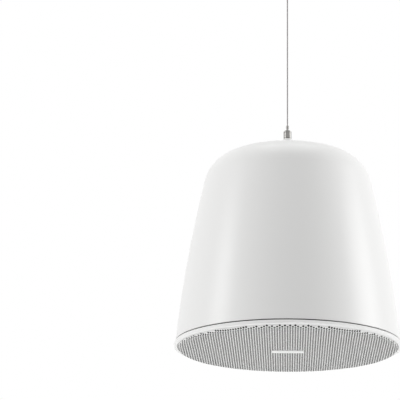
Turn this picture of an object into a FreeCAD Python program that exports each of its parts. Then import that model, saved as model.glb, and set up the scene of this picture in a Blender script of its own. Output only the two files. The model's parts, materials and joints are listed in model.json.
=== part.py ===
import FreeCAD, Part
import math
import os

import Sketcher

# A pendant loudspeaker: a bell-shaped enclosure that hangs from one steel wire rope.
# Millimetres, +Z up. The origin is the top face of the ceiling coupler, where the whole
# speaker hangs, so everything else lies below it. The speaker faces straight down.

doc = FreeCAD.newDocument("pendant_speaker")

# The driving sizes, in millimetres, degrees for a draft and plain numbers for a count.
sizes = {
    # Bell of the enclosure, measured from the parting plane at its rim
    "rim_margin": 19.6,
    "shell_height": 280.6,
    "side_draft": 5.7,
    "side_radius": 1900.0,
    "shoulder_radius": 48.5,
    "crown_radius": 470.0,
    "crown_seat_radius": 9.0,
    "shell_wall": 4.0,
    "parting_gap": 1.8,
    "gasket_inset": 2.6,
    "gasket_width": 4.0,
    "seat_gap": 0.3,
    "spigot_clearance": 0.4,
    # Pan-head screws, as shares of the screw's radius and of the head's height
    "screw_head_share": 1.9,
    "screw_head_height_share": 1.2,
    "screw_recess_share": 0.95,
    "screw_recess_depth_share": 0.6,
    "pilot_spare": 1.0,
    # Hanger: plate inside the crown, bolt, painted spacer, gripper
    "plate_length": 110.0,
    "plate_width": 54.0,
    "plate_thickness": 3.0,
    "plate_drop": 18.6,
    "plate_screw_x": 45.0,
    "plate_screw_y": 17.0,
    "centre_boss_radius": 12.0,
    "plate_boss_radius": 4.5,
    "bolt_radius": 3.0,
    "thread_gap": 0.05,
    "bolt_head_radius": 5.5,
    "bolt_head_height": 4.0,
    "washer_radius": 9.0,
    "washer_thickness": 1.6,
    "spacer_radius": 7.0,
    "spacer_height": 21.0,
    "thread_engagement": 3.6,
    "gripper_radius": 5.7,
    "gripper_height": 12.1,
    "gripper_taper": 1.9,
    "gripper_neck_radius": 3.0,
    "chamber_radius": 4.2,
    "chamber_height": 4.4,
    "cone_top_radius": 1.9,
    "neck_length": 1.4,
    "plunger_radius": 1.6,
    "stem_showing": 3.0,
    "button_radius": 2.2,
    "button_height": 3.8,
    "plunger_clearance": 0.15,
    "cage_top_radius": 1.9,
    "cage_top_gap": 0.6,
    "cage_height": 3.4,
    "cage_flange_radius": 3.6,
    "cage_flange_thickness": 0.7,
    "ball_radius": 0.8,
    "ball_gap": 0.08,
    "ball_drop": 1.7,
    "ball_count": 3,
    "spring_wire_radius": 0.25,
    "spring_turns": 3,
    # Suspension wire rope and its ceiling coupler
    "wire_radius": 0.9,
    "wire_free": 206.0,
    "wire_bore_clearance": 0.3,
    "coupler_radius": 7.0,
    "coupler_height": 22.0,
    "coupler_chamber_radius": 4.0,
    "coupler_floor": 4.0,
    "coupler_chamfer": 0.6,
    "ceiling_thread_radius": 3.0,
    "ceiling_thread_depth": 9.0,
    "ferrule_radius": 2.8,
    "ferrule_height": 6.0,
    # Baffle that closes the bell
    "baffle_gap": 1.4,
    "baffle_thickness": 5.0,
    "driver_recess": 4.0,
    "recess_clearance": 1.2,
    "recess_ring_width": 5.8,
    "assembly_screw_radius": 2.0,
    "assembly_screw_length": 20.0,
    "assembly_screw_inset": 11.6,
    "assembly_screw_count": 6,
    "shell_boss_radius": 5.2,
    "shell_boss_height": 42.0,
    "pilot_depth": 20.0,
    "screw_clearance": 0.3,
    # Bezel and grille
    "bezel_overhang": 2.4,
    "bezel_step": 0.7,
    "bezel_height": 5.6,
    "bezel_edge_round": 2.0,
    "bezel_width": 5.0,
    "bezel_foot_width": 15.0,
    "bezel_foot_thickness": 2.0,
    "grille_gap": 0.7,
    "grille_thickness": 1.0,
    "grille_drop": 4.2,
    "grille_edge_round": 6.0,
    "grille_hole_radius": 4.5,
    "grille_hole_margin": 14.0,
    "grille_hole_rings": 5,
    "scrim_thickness": 0.6,
    "scrim_inset": 10.3,
    "name_plate_length": 45.0,
    "name_plate_width": 14.0,
    "name_plate_thickness": 1.5,
    # Woofer
    "gasket_thickness": 0.8,
    "basket_radius": 83.0,
    "basket_flange_width": 8.5,
    "basket_clearance": 0.6,
    "basket_wall": 1.2,
    "basket_depth": 46.0,
    "basket_seat_radius": 45.0,
    "spider_seat_depth": 34.0,
    "spider_seat_width": 6.0,
    "basket_window_radius": 9.0,
    "basket_window_count": 6,
    "basket_back_hole_radius": 21.0,
    "surround_margin": 2.0,
    "surround_roll_width": 11.5,
    "surround_lip": 2.6,
    "surround_thickness": 0.8,
    "cone_neck_drop": 6.0,
    "cone_wall": 0.8,
    "cone_collar_height": 3.4,
    "coil_radius": 13.1,
    "coil_wall": 0.3,
    "coil_length": 30.0,
    "former_overhang": 3.0,
    "winding_length": 9.0,
    "winding_thickness": 0.5,
    "spider_thickness": 0.5,
    "spider_wave": 1.2,
    "spider_wave_count": 4,
    "spider_inner_land": 4.0,
    "spider_outer_land": 1.0,
    "magnet_gap": 0.6,
    "front_washer_radius": 46.0,
    "front_washer_thickness": 5.0,
    "magnet_radius": 50.0,
    "magnet_hole_radius": 22.0,
    "magnet_height": 16.0,
    "yoke_thickness": 6.0,
    "woofer_screw_inset": 4.0,
    "woofer_screw_count": 8,
    "woofer_screw_radius": 1.9,
    "woofer_screw_length": 4.4,
    "terminal_strip_length": 16.0,
    "terminal_strip_height": 8.0,
    "terminal_strip_thickness": 2.5,
    # Tweeter on the woofer's pole
    "post_radius": 5.0,
    "tweeter_cup_radius": 15.0,
    "tweeter_cup_height": 11.0,
    "tweeter_cup_wall": 2.5,
    "tweeter_magnet_radius": 9.8,
    "tweeter_magnet_height": 6.5,
    "faceplate_radius": 21.0,
    "faceplate_thickness": 3.0,
    "faceplate_lip": 3.0,
    "tweeter_dome_radius": 10.6,
    "tweeter_dome_rise": 4.0,
    "tweeter_dome_wall": 0.3,
    "tweeter_coil_length": 4.0,
    "tweeter_level": 3.0,
    # Bass ports
    "port_margin": 3.8,
    "port_radius": 20.0,
    "port_wall": 2.5,
    "port_length": 74.0,
    "port_flange_radius": 25.0,
    "port_flange_thickness": 2.5,
    "port_mouth_round": 3.0,
    # Crossover
    "board_length": 96.0,
    "board_width": 38.0,
    "board_thickness": 1.6,
    "board_margin": 9.0,
    "board_standoff": 8.0,
    "board_screw_x": 43.0,
    "board_screw_y": 14.0,
    "board_screw_bite": 3.5,
    "small_screw_radius": 1.5,
    "small_screw_length": 6.0,
    "spacer_tube_radius": 3.2,
    "inductor_radius": 15.0,
    "inductor_height": 16.0,
    "inductor_hole_radius": 6.0,
    "inductor_x": -22.0,
    "capacitor_radius": 6.0,
    "capacitor_length": 24.0,
    "capacitor_x": 20.0,
    "capacitor_pitch": 13.0,
    "resistor_length": 22.0,
    "resistor_width": 8.0,
    "resistor_height": 8.0,
    "resistor_x": 6.0,
    "resistor_y": -13.0,
    # Line transformer under the hanger plate
    "core_length": 48.0,
    "core_height": 40.0,
    "core_stack": 20.0,
    "core_window_width": 8.0,
    "core_window_height": 24.0,
    "core_limb": 16.0,
    "core_drop": 7.0,
    "winding_build": 7.4,
    "bracket_thickness": 1.5,
    "bracket_foot": 12.0,
    # Terminal well in the crown, behind the hanger
    "well_offset": 56.0,
    "well_length": 72.0,
    "well_width": 44.0,
    "well_floor_drop": 36.0,
    "well_ledge_drop": 16.0,
    "well_ledge_width": 6.0,
    "well_wall": 3.0,
    "well_opening_length": 46.0,
    "well_opening_width": 24.0,
    "cover_clearance": 0.4,
    "cover_thickness": 2.5,
    "panel_thickness": 2.5,
    "panel_screw_x": 25.5,
    "panel_screw_y": 12.6,
    "terminal_length": 24.0,
    "terminal_width": 10.0,
    "terminal_height": 10.0,
    "terminal_x": -10.0,
    "terminal_hole_radius": 1.4,
    "terminal_count": 4,
    "switch_radius": 9.0,
    "switch_height": 14.0,
    "knob_x": 13.0,
    "knob_radius": 7.0,
    "knob_height": 9.0,
    "knob_grip_length": 13.0,
    "knob_grip_width": 3.0,
    "knob_grip_height": 2.5,
    "knob_lift": 0.4,
    "spindle_radius": 2.0,
    "spindle_length": 8.0,
    "spindle_clearance": 0.06,
    "inlet_radius": 4.0,
    "grommet_flange_radius": 8.0,
    "grommet_neck_radius": 6.0,
    "grommet_lip": 1.2,
    "grommet_x": 12.0,
    # Damping wadding and hook-up leads
    "wadding_thickness": 15.0,
    "wadding_bottom": 95.0,
    "wadding_top_drop": 80.6,
    "lead_radius": 1.8,
    "lead_bend_share": 0.45,
    "driver_lead_x": 28.0,
    "driver_lead_inset": 14.0,
    "driver_lead_rise": 21.0,
    "driver_lead_end_x": 5.0,
    "driver_lead_end_run": 15.6,
    "input_lead_drop": 10.0,
    "input_lead_step": 12.0,
    "input_lead_fall": 9.0,
    "transformer_lead_run": 20.6,
    "transformer_lead_rise": 26.0,
    "transformer_lead_x": 2.0,
}

sheet = doc.addObject("Spreadsheet::Sheet", "Sizes")
for row, (alias, number) in enumerate(sizes.items(), start=1):
    sheet.set("A%d" % row, alias)
    sheet.set("B%d" % row, str(number))
    sheet.setAlias("B%d" % row, alias)
doc.recompute()


class Size:
    """A length that carries both its number and its formula over the sheet's cells."""

    def __init__(self, value, text):
        self.value = value
        self.text = text

    def joined(self, other, value, sign):
        return Size(value, "(%s %s %s)" % (self.text, sign, as_size(other).text))

    def __add__(self, other):
        return self.joined(other, self.value + as_size(other).value, "+")

    def __sub__(self, other):
        return self.joined(other, self.value - as_size(other).value, "-")

    def __mul__(self, other):
        return self.joined(other, self.value * as_size(other).value, "*")

    def __truediv__(self, other):
        return self.joined(other, self.value / as_size(other).value, "/")

    def __rmul__(self, other):
        return self * other

    def __radd__(self, other):
        return self + other

    def __rsub__(self, other):
        return as_size(other) - self

    def __neg__(self):
        return Size(-self.value, "(0 - %s)" % self.text)


def as_size(number):
    if isinstance(number, Size):
        return number
    return Size(float(number), "%.6f" % float(number))


def cell(alias):
    """The named size from the sheet."""
    return Size(float(sheet.get(alias)), "Sizes.%s" % alias)


def whole(alias):
    """A count from the sheet."""
    return int(round(float(sheet.get(alias))))


def bind(piece, prop, size):
    size = as_size(size)
    piece.setExpression(prop, size.text)


def place(piece, x=0, y=0, z=0):
    for axis, size in zip("xyz", (x, y, z)):
        bind(piece, "Placement.Base.%s" % axis, size)
    return piece


# Helpers for turned pieces, whose half section is drawn as radius and height

def plane(body, role):
    return next(part for part in body.Origin.OriginFeatures if part.Role == role)


class Bend:
    """A round stretch to the next point: which way it turns, and where its centre lies."""

    def __init__(self, centre_radius=None, centre_height=None, left=True):
        self.centre_radius = centre_radius
        self.centre_height = centre_height
        self.left = left


def bend_centre(start, end, bend):
    """Centre of the arc from start to end, from the one coordinate that is given."""
    middle = ((start[0] + end[0]) / 2, (start[1] + end[1]) / 2)
    along = (end[0] - start[0], end[1] - start[1])
    normal = (-along[1], along[0])
    if bend.centre_radius is not None:
        share = (as_size(bend.centre_radius).value - middle[0]) / normal[0]
    else:
        share = (as_size(bend.centre_height).value - middle[1]) / normal[1]
    return (middle[0] + share * normal[0], middle[1] + share * normal[1])


def add_arc(sketch, start, end, centre, left):
    radius = math.hypot(start[0] - centre[0], start[1] - centre[1])
    circle = Part.Circle(FreeCAD.Vector(centre[0], centre[1], 0), FreeCAD.Vector(0, 0, 1), radius)
    first = math.atan2(start[1] - centre[1], start[0] - centre[0])
    last = math.atan2(end[1] - centre[1], end[0] - centre[0])
    if not left:
        first, last = last, first
    if last <= first:
        last += 2 * math.pi
    return sketch.addGeometry(Part.ArcOfCircle(circle, first, last))


def fix_point(sketch, geometry, point, radius, height):
    """Ties a point of the section to its radius and height."""
    for kind, size in (("DistanceX", radius), ("DistanceY", height)):
        size = as_size(size)
        index = sketch.addConstraint(
            Sketcher.Constraint(kind, -1, 1, geometry, point, size.value))
        sketch.setExpression("Constraints[%d]" % index, size.text)


def draw_section(sketch, outline):
    """Draws a closed outline of (radius, height) points, with a Bend between two where it is round."""
    points = [item for item in outline if not isinstance(item, Bend)]
    bends = {}
    seen = 0
    for item in outline:
        if isinstance(item, Bend):
            bends[seen - 1] = item
        else:
            seen += 1
    values = [(as_size(r).value, as_size(z).value) for r, z in points]
    ends = []
    for index, start in enumerate(values):
        end = values[(index + 1) % len(values)]
        bend = bends.get(index)
        if bend is None:
            line = Part.LineSegment(FreeCAD.Vector(start[0], start[1], 0),
                                    FreeCAD.Vector(end[0], end[1], 0))
            ends.append((sketch.addGeometry(line), 1, 2))
            continue
        arc = add_arc(sketch, start, end, bend_centre(start, end, bend), bend.left)
        ends.append((arc, 1, 2) if bend.left else (arc, 2, 1))
        kind = "DistanceX" if bend.centre_radius is not None else "DistanceY"
        given = as_size(bend.centre_radius if kind == "DistanceX" else bend.centre_height)
        number = sketch.addConstraint(Sketcher.Constraint(kind, -1, 1, arc, 3, given.value))
        sketch.setExpression("Constraints[%d]" % number, given.text)
    for index, (geometry, first, last) in enumerate(ends):
        following = ends[(index + 1) % len(ends)]
        sketch.addConstraint(
            Sketcher.Constraint("Coincident", geometry, last, following[0], following[1]))
        fix_point(sketch, geometry, first, *points[index])


def new_section(body, name):
    sketch = body.newObject("Sketcher::SketchObject", name)
    sketch.AttachmentSupport = (plane(body, "XZ_Plane"), [""])
    sketch.MapMode = "FlatFace"
    return sketch


def revolve(body, sketch, name):
    turn = body.newObject("PartDesign::Revolution", name)
    turn.Profile = sketch
    turn.ReferenceAxis = (sketch, ["V_Axis"])
    turn.Angle = 360.0
    sketch.Visibility = False
    return turn


def turned(name, outline, x=0, y=0, z=0):
    """A piece turned from its half section about an upright axis at x, y."""
    body = doc.addObject("PartDesign::Body", name)
    sketch = new_section(body, name + "_section")
    draw_section(sketch, outline)
    revolve(body, sketch, name + "_turn")
    return place(body, x, y, z)


# Helpers for pieces made of plain solids

def cylinder(name, radius, height, x=0, y=0, z=0):
    solid = doc.addObject("Part::Cylinder", name)
    bind(solid, "Radius", radius)
    bind(solid, "Height", height)
    return place(solid, x, y, z)


def box(name, length, width, height, x=0, y=0, z=0):
    """A block centred on x and y, standing on z."""
    solid = doc.addObject("Part::Box", name)
    bind(solid, "Length", length)
    bind(solid, "Width", width)
    bind(solid, "Height", height)
    return place(solid, x - as_size(length) / 2, y - as_size(width) / 2, z)


def cut(name, base, tool):
    result = doc.addObject("Part::Cut", name)
    result.Base = base
    result.Tool = tool
    return result


def common(name, first, second):
    result = doc.addObject("Part::Common", name)
    result.Base = first
    result.Tool = second
    return result


def fuse(name, solids):
    result = doc.addObject("Part::MultiFuse", name)
    result.Shapes = solids
    return result


def group(name, solids):
    """Several separate solids that share one node."""
    result = doc.addObject("Part::Compound", name)
    result.Links = solids
    return result


def around(count, radius, first_angle=0.0):
    """Places on a circle, as sizes."""
    for index in range(count):
        angle = math.radians(first_angle + 360.0 * index / count)
        yield radius * math.cos(angle), radius * math.sin(angle)


def corners(half_x, half_y):
    for side in (-1, 1):
        for end in (-1, 1):
            yield half_x * side, half_y * end


def screw(name, radius, length, x, y, z, upward=True):
    """A pan-head screw with a hexagonal recess; its head's seat is at z."""
    head_radius = radius * cell("screw_head_share")
    head_height = radius * cell("screw_head_height_share")
    recess_depth = head_height * cell("screw_recess_depth_share")
    recess = doc.addObject("Part::Prism", name + "_recess")
    recess.Polygon = 6
    bind(recess, "Circumradius", radius * cell("screw_recess_share"))
    bind(recess, "Height", recess_depth)
    if upward:
        shank = cylinder(name + "_shank", radius, length, x, y, z)
        head = cylinder(name + "_head", head_radius, head_height, x, y, z - head_height)
        place(recess, x, y, z - head_height)
    else:
        shank = cylinder(name + "_shank", radius, length, x, y, z - length)
        head = cylinder(name + "_head", head_radius, head_height, x, y, z)
        place(recess, x, y, z + head_height - recess_depth)
    return cut(name, fuse(name + "_blank", [shank, head]), recess)


# Levels along the axis, from the ceiling down
gripper_reach = cell("gripper_height") + cell("gripper_taper")
button_top = gripper_reach + cell("stem_showing") + cell("button_height")
hang = (cell("shell_height") + cell("spacer_height") + button_top
        + cell("wire_free") + cell("coupler_height"))
rim = -hang
crown = rim + cell("shell_height")
spacer_top = crown + cell("spacer_height")
plunger_top = spacer_top + button_top
coupler_bottom = -cell("coupler_height")
lip = rim + cell("parting_gap") / 2
bezel_top = rim - cell("parting_gap") / 2
plate_top = crown - cell("plate_drop")
plate_bottom = plate_top - cell("plate_thickness")
baffle_top = lip + cell("baffle_thickness")
driver_ledge = lip + cell("driver_recess")
ledge_top = driver_ledge + cell("baffle_thickness")
bezel_bottom = bezel_top - cell("bezel_height")
foot_bottom = bezel_top - cell("bezel_foot_thickness")
grille_bottom = bezel_bottom - cell("grille_drop")
well_floor = crown - cell("well_floor_drop")
well_ledge = crown - cell("well_ledge_drop")
woofer_front = driver_ledge - cell("gasket_thickness") - cell("basket_wall")
basket_back = woofer_front + cell("basket_depth") + cell("basket_wall")
board_bottom = baffle_top + cell("board_standoff")
board_top = board_bottom + cell("board_thickness")
core_top = plate_bottom - cell("core_drop")
core_bottom = core_top - cell("core_height")
core_middle = core_bottom + cell("core_height") / 2
panel_top = well_floor + cell("panel_thickness")
cover_top = well_ledge + cell("cover_thickness")

# Radii, from the driver outwards to the rim and the grille
driver_hole = cell("basket_radius") - cell("basket_flange_width")
recess_radius = cell("basket_radius") + cell("recess_clearance")
recess_ring = recess_radius + cell("recess_ring_width")
surround_outer = driver_hole - cell("surround_margin")
surround_inner = surround_outer - cell("surround_roll_width")
port_offset = recess_radius + cell("port_margin") + cell("port_flange_radius")
board_offset = recess_ring + cell("board_margin") + cell("board_width") / 2
rim_radius = port_offset + cell("port_flange_radius") + cell("rim_margin")
screw_circle = rim_radius - cell("assembly_screw_inset")
gasket_inner = rim_radius - cell("gasket_inset") - cell("gasket_width")
bezel_radius = rim_radius + cell("bezel_overhang")
bezel_inner = bezel_radius - cell("bezel_width")
bezel_foot = bezel_inner - cell("bezel_foot_width")
grille_radius = bezel_inner - cell("grille_gap")
scrim_radius = grille_radius - cell("scrim_inset")

# Sizes that several pieces share
small_pilot = cell("small_screw_radius") + cell("thread_gap")
small_pilot_depth = cell("small_screw_length") + cell("pilot_spare")
small_hole = cell("small_screw_radius") + cell("screw_clearance")
cover_screw_x = (cell("well_length") - cell("well_ledge_width")) / 2
wire_hole = cell("wire_radius") + cell("wire_bore_clearance")

finished = []


def finish(label, piece):
    """Names a sub-part and lists it for writing."""
    piece.Label = label
    finished.append(piece)
    return piece


# The enclosure

def bell(name, inset):
    """The bell's solid, drawn in from its outside by an even inset."""
    body = doc.addObject("PartDesign::Body", name)
    sketch = new_section(body, name + "_section")
    inset = as_size(inset)
    draft = math.radians(cell("side_draft").value)
    side = cell("side_radius") - inset
    shoulder = cell("shoulder_radius") - inset
    crowning = cell("crown_radius") - inset
    low_size = cell("parting_gap") / 2
    low = low_size.value
    height = cell("shell_height").value
    seat = cell("crown_seat_radius")
    side_centre = (rim_radius.value - cell("side_radius").value * math.cos(draft),
                   low - cell("side_radius").value * math.sin(draft))
    crown_centre = (0.0, height - inset.value - math.sqrt(crowning.value ** 2 - seat.value ** 2))
    shoulder_centre = circle_meeting(side_centre, side.value - shoulder.value,
                                     crown_centre, crowning.value - shoulder.value)
    foot_rise = low - side_centre[1]
    foot = (side_centre[0] + math.sqrt(side.value ** 2 - foot_rise ** 2), low)
    side_end = beyond(side_centre, shoulder_centre, side.value)
    shoulder_end = beyond(crown_centre, shoulder_centre, crowning.value)
    top = (seat.value, height - inset.value)
    side_arc = add_arc(sketch, foot, side_end, side_centre, True)
    shoulder_arc = add_arc(sketch, side_end, shoulder_end, shoulder_centre, True)
    crown_arc = add_arc(sketch, shoulder_end, top, crown_centre, True)
    seat_line = sketch.addGeometry(Part.LineSegment(
        FreeCAD.Vector(top[0], top[1], 0), FreeCAD.Vector(0, top[1], 0)))
    axis_line = sketch.addGeometry(Part.LineSegment(
        FreeCAD.Vector(0, top[1], 0), FreeCAD.Vector(0, low, 0)))
    base_line = sketch.addGeometry(Part.LineSegment(
        FreeCAD.Vector(0, low, 0), FreeCAD.Vector(foot[0], low, 0)))
    sketch.addConstraint(Sketcher.Constraint("Tangent", side_arc, 2, shoulder_arc, 1))
    sketch.addConstraint(Sketcher.Constraint("Tangent", shoulder_arc, 2, crown_arc, 1))
    sketch.addConstraint(Sketcher.Constraint("Coincident", crown_arc, 2, seat_line, 1))
    sketch.addConstraint(Sketcher.Constraint("Coincident", seat_line, 2, axis_line, 1))
    sketch.addConstraint(Sketcher.Constraint("Coincident", axis_line, 2, base_line, 1))
    sketch.addConstraint(Sketcher.Constraint("Coincident", base_line, 2, side_arc, 1))
    sketch.addConstraint(Sketcher.Constraint("Horizontal", base_line))
    sketch.addConstraint(Sketcher.Constraint("PointOnObject", crown_arc, 3, -2))
    for arc, radius in ((side_arc, side), (shoulder_arc, shoulder), (crown_arc, crowning)):
        index = sketch.addConstraint(Sketcher.Constraint("Radius", arc, radius.value))
        sketch.setExpression("Constraints[%d]" % index, radius.text)
    fix_point(sketch, seat_line, 1, seat, cell("shell_height") - inset)
    fix_point(sketch, axis_line, 1, 0, cell("shell_height") - inset)
    fix_point(sketch, axis_line, 2, 0, low_size)
    centre_radius = Size(side_centre[0],
                         "(%s - Sizes.side_radius * cos(Sizes.side_draft))" % rim_radius.text)
    centre_height = Size(side_centre[1],
                         "(%s - Sizes.side_radius * sin(Sizes.side_draft))" % low_size.text)
    fix_point(sketch, side_arc, 3, centre_radius, centre_height)
    revolve(body, sketch, name + "_turn")
    return place(body, z=rim)


def circle_meeting(first, first_radius, second, second_radius):
    """Where two circles meet, the higher of the two meeting points."""
    span = math.hypot(second[0] - first[0], second[1] - first[1])
    along = (first_radius ** 2 - second_radius ** 2 + span ** 2) / (2 * span)
    across = math.sqrt(first_radius ** 2 - along ** 2)
    unit = ((second[0] - first[0]) / span, (second[1] - first[1]) / span)
    foot = (first[0] + along * unit[0], first[1] + along * unit[1])
    choices = [(foot[0] + sign * across * unit[1], foot[1] - sign * across * unit[0])
               for sign in (-1, 1)]
    return max(choices, key=lambda point: point[1])


def beyond(start, through, distance):
    """The point at a distance from start, on the line through another point."""
    span = math.hypot(through[0] - start[0], through[1] - start[1])
    return (start[0] + (through[0] - start[0]) * distance / span,
            start[1] + (through[1] - start[1]) * distance / span)


def make_shell():
    """The moulded bell, with its screw bosses, hanger bosses and terminal well."""
    wall = cell("shell_wall")
    keep = []
    for index, (x, y) in enumerate(around(whole("assembly_screw_count"), screw_circle)):
        keep.append(cylinder("shell_boss_%d" % index, cell("shell_boss_radius"),
                             cell("shell_boss_height"), x, y, baffle_top))
    boss_height = crown - plate_top
    keep.append(cylinder("centre_boss", cell("centre_boss_radius"), boss_height, z=plate_top))
    for index, (x, y) in enumerate(corners(cell("plate_screw_x"), cell("plate_screw_y"))):
        keep.append(cylinder("plate_boss_%d" % index, cell("plate_boss_radius"), boss_height,
                             x, y, plate_top))
    well_bottom = well_floor - cell("well_wall")
    keep.append(box("well_block", cell("well_length") + 2 * cell("well_wall"),
                    cell("well_width") + 2 * cell("well_wall"), crown - well_bottom,
                    0, cell("well_offset"), well_bottom))
    inside = cut("shell_inside", bell("bell_inside", wall), fuse("shell_keep", keep))
    blank = cut("shell_blank", bell("bell_outside", 0), inside)
    ledge = cell("well_ledge_width")
    tools = [
        box("well_mouth", cell("well_length"), cell("well_width"), cell("well_ledge_drop") + wall,
            0, cell("well_offset"), well_ledge),
        box("well_room", cell("well_length") - 2 * ledge, cell("well_width") - 2 * ledge,
            well_ledge - well_floor + wall, 0, cell("well_offset"), well_floor),
        box("well_opening", cell("well_opening_length"), cell("well_opening_width"),
            cell("well_wall") + 2 * wall, 0, cell("well_offset"), well_bottom - wall),
        cylinder("hanger_bolt_hole", cell("bolt_radius") + cell("screw_clearance"),
                 boss_height + wall, z=plate_top - wall / 2),
    ]
    for index, (x, y) in enumerate(around(whole("assembly_screw_count"), screw_circle)):
        tools.append(cylinder("boss_pilot_%d" % index, cell("assembly_screw_radius") + cell("thread_gap"),
                              cell("pilot_depth"), x, y, baffle_top))
    for index, (x, y) in enumerate(corners(cell("plate_screw_x"), cell("plate_screw_y"))):
        tools.append(cylinder("plate_pilot_%d" % index, small_pilot,
                              small_pilot_depth, x, y, plate_top))
    for index, (x, y) in enumerate(corners(cell("panel_screw_x"), cell("panel_screw_y"))):
        tools.append(cylinder("panel_pilot_%d" % index, small_pilot,
                              2 * cell("well_wall"), x, y + cell("well_offset"),
                              well_floor - 1.5 * cell("well_wall")))
    for index, side in enumerate((-1, 1)):
        tools.append(cylinder("cover_pilot_%d" % index, small_pilot, small_pilot_depth,
                              cover_screw_x * side, cell("well_offset"), well_ledge - small_pilot_depth))
    finish("enclosure_shell", cut("enclosure_shell", blank, fuse("shell_tools", tools)))


def make_gasket():
    outer = rim_radius - cell("gasket_inset")
    finish("parting_gasket", ring("parting_gasket", gasket_inner, outer, cell("parting_gap"), z=bezel_top))


# The hanger in the crown, and the gripper on the wire

def make_hanger():
    plate_screws = list(corners(cell("plate_screw_x"), cell("plate_screw_y")))
    foot_x = (cell("core_length") + cell("bracket_foot")) / 2 + cell("bracket_thickness")
    holes = [cylinder("plate_centre_hole", cell("bolt_radius") + cell("screw_clearance"),
                      3 * cell("plate_thickness"), z=plate_bottom - cell("plate_thickness"))]
    for index, (x, y) in enumerate(plate_screws):
        holes.append(cylinder("plate_hole_%d" % index, small_hole, 3 * cell("plate_thickness"),
                              x, y, plate_bottom - cell("plate_thickness")))
    for index, side in enumerate((-1, 1)):
        holes.append(cylinder("plate_tapped_hole_%d" % index, small_pilot, 3 * cell("plate_thickness"),
                              foot_x * side, 0, plate_bottom - cell("plate_thickness")))
    blank = box("plate_blank", cell("plate_length"), cell("plate_width"), cell("plate_thickness"),
                z=plate_bottom)
    finish("hanger_plate", cut("hanger_plate", blank, fuse("plate_holes", holes)))
    finish("hanger_plate_screws", group("hanger_plate_screws", [
        screw("plate_screw_%d" % index, cell("small_screw_radius"), cell("small_screw_length"),
              x, y, plate_bottom) for index, (x, y) in enumerate(plate_screws)]))

    washer_bottom = plate_bottom - cell("washer_thickness")
    washer_hole = cell("bolt_radius") + cell("screw_clearance")
    finish("hanger_washer", ring("hanger_washer", washer_hole, cell("washer_radius"),
                                 cell("washer_thickness"), z=washer_bottom))
    finish("hanger_spacer", ring("hanger_spacer", washer_hole, cell("spacer_radius"),
                                 cell("spacer_height"), z=crown))
    head = doc.addObject("Part::Prism", "bolt_head")
    head.Polygon = 6
    bind(head, "Circumradius", cell("bolt_head_radius"))
    bind(head, "Height", cell("bolt_head_height"))
    place(head, z=washer_bottom - cell("bolt_head_height"))
    shank = cylinder("bolt_shank", cell("bolt_radius"),
                     spacer_top + cell("thread_engagement") - washer_bottom, z=washer_bottom)
    finish("hanger_bolt", fuse("hanger_bolt", [head, shank]))


def ring(name, inner, outer, height, x=0, y=0, z=0):
    """A plain tube or washer."""
    return turned(name, [(inner, 0), (outer, 0), (outer, height), (inner, height)], x, y, z)


def make_gripper():
    """A cable gripper: a sprung plunger holds balls in a cone, where they wedge on the wire."""
    thread = cell("bolt_radius") + cell("thread_gap")
    neck_hole = cell("plunger_radius") + cell("plunger_clearance")
    chamber_top = cell("thread_engagement") + cell("chamber_height")
    cone_top = gripper_reach - cell("neck_length")
    finish("gripper_body", turned("gripper_body", [
        (thread, 0), (cell("gripper_radius"), 0), (cell("gripper_radius"), cell("gripper_height")),
        (cell("gripper_neck_radius"), gripper_reach), (neck_hole, gripper_reach),
        (neck_hole, cone_top), (cell("cone_top_radius"), cone_top),
        (cell("chamber_radius"), chamber_top), (cell("chamber_radius"), cell("thread_engagement")),
        (thread, cell("thread_engagement"))], z=spacer_top))

    cage_top = cone_top - cell("cage_top_gap")
    cage_bottom = cage_top - cell("cage_height")
    flange_bottom = cage_bottom - cell("cage_flange_thickness")
    button_bottom = gripper_reach + cell("stem_showing")
    stem = cell("plunger_radius")
    plunger = turned("plunger_blank", [
        (wire_hole, flange_bottom), (cell("cage_flange_radius"), flange_bottom),
        (cell("cage_flange_radius"), cage_bottom), (cell("cage_top_radius"), cage_top),
        (stem, cage_top), (stem, button_bottom), (cell("button_radius"), button_bottom),
        (cell("button_radius"), button_top), (wire_hole, button_top)], z=spacer_top)
    ball_level = spacer_top + cage_top - cell("ball_drop")
    ball_circle = cell("wire_radius") + cell("ball_radius") + cell("ball_gap")
    pockets = []
    balls = []
    for index, (x, y) in enumerate(around(whole("ball_count"), ball_circle)):
        ball = doc.addObject("Part::Sphere", "ball_%d" % index)
        bind(ball, "Radius", cell("ball_radius"))
        balls.append(place(ball, x, y, ball_level))
        pocket = doc.addObject("Part::Sphere", "ball_pocket_%d" % index)
        bind(pocket, "Radius", cell("ball_radius") + cell("ball_gap"))
        pockets.append(place(pocket, x, y, ball_level))
    finish("gripper_plunger", cut("gripper_plunger", plunger, fuse("ball_pockets", pockets)))
    finish("gripper_balls", group("gripper_balls", balls))

    wire = cell("spring_wire_radius").value
    floor = cell("thread_engagement").value
    length = flange_bottom.value - floor - 2 * wire
    coil_radius = cell("cage_flange_radius").value - wire
    path = Part.Wire(Part.makeHelix(length / whole("spring_turns"), length, coil_radius).Edges)
    start = path.Edges[0].valueAt(path.Edges[0].FirstParameter)
    section = Part.Wire(Part.makeCircle(wire, start, FreeCAD.Vector(0, 1, 0)))
    spring = doc.addObject("Part::Feature", "gripper_spring")
    spring.Shape = path.makePipeShell([section], True, True)
    finish("gripper_spring", place(spring, z=spacer_top + cell("thread_engagement") + wire))


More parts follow.
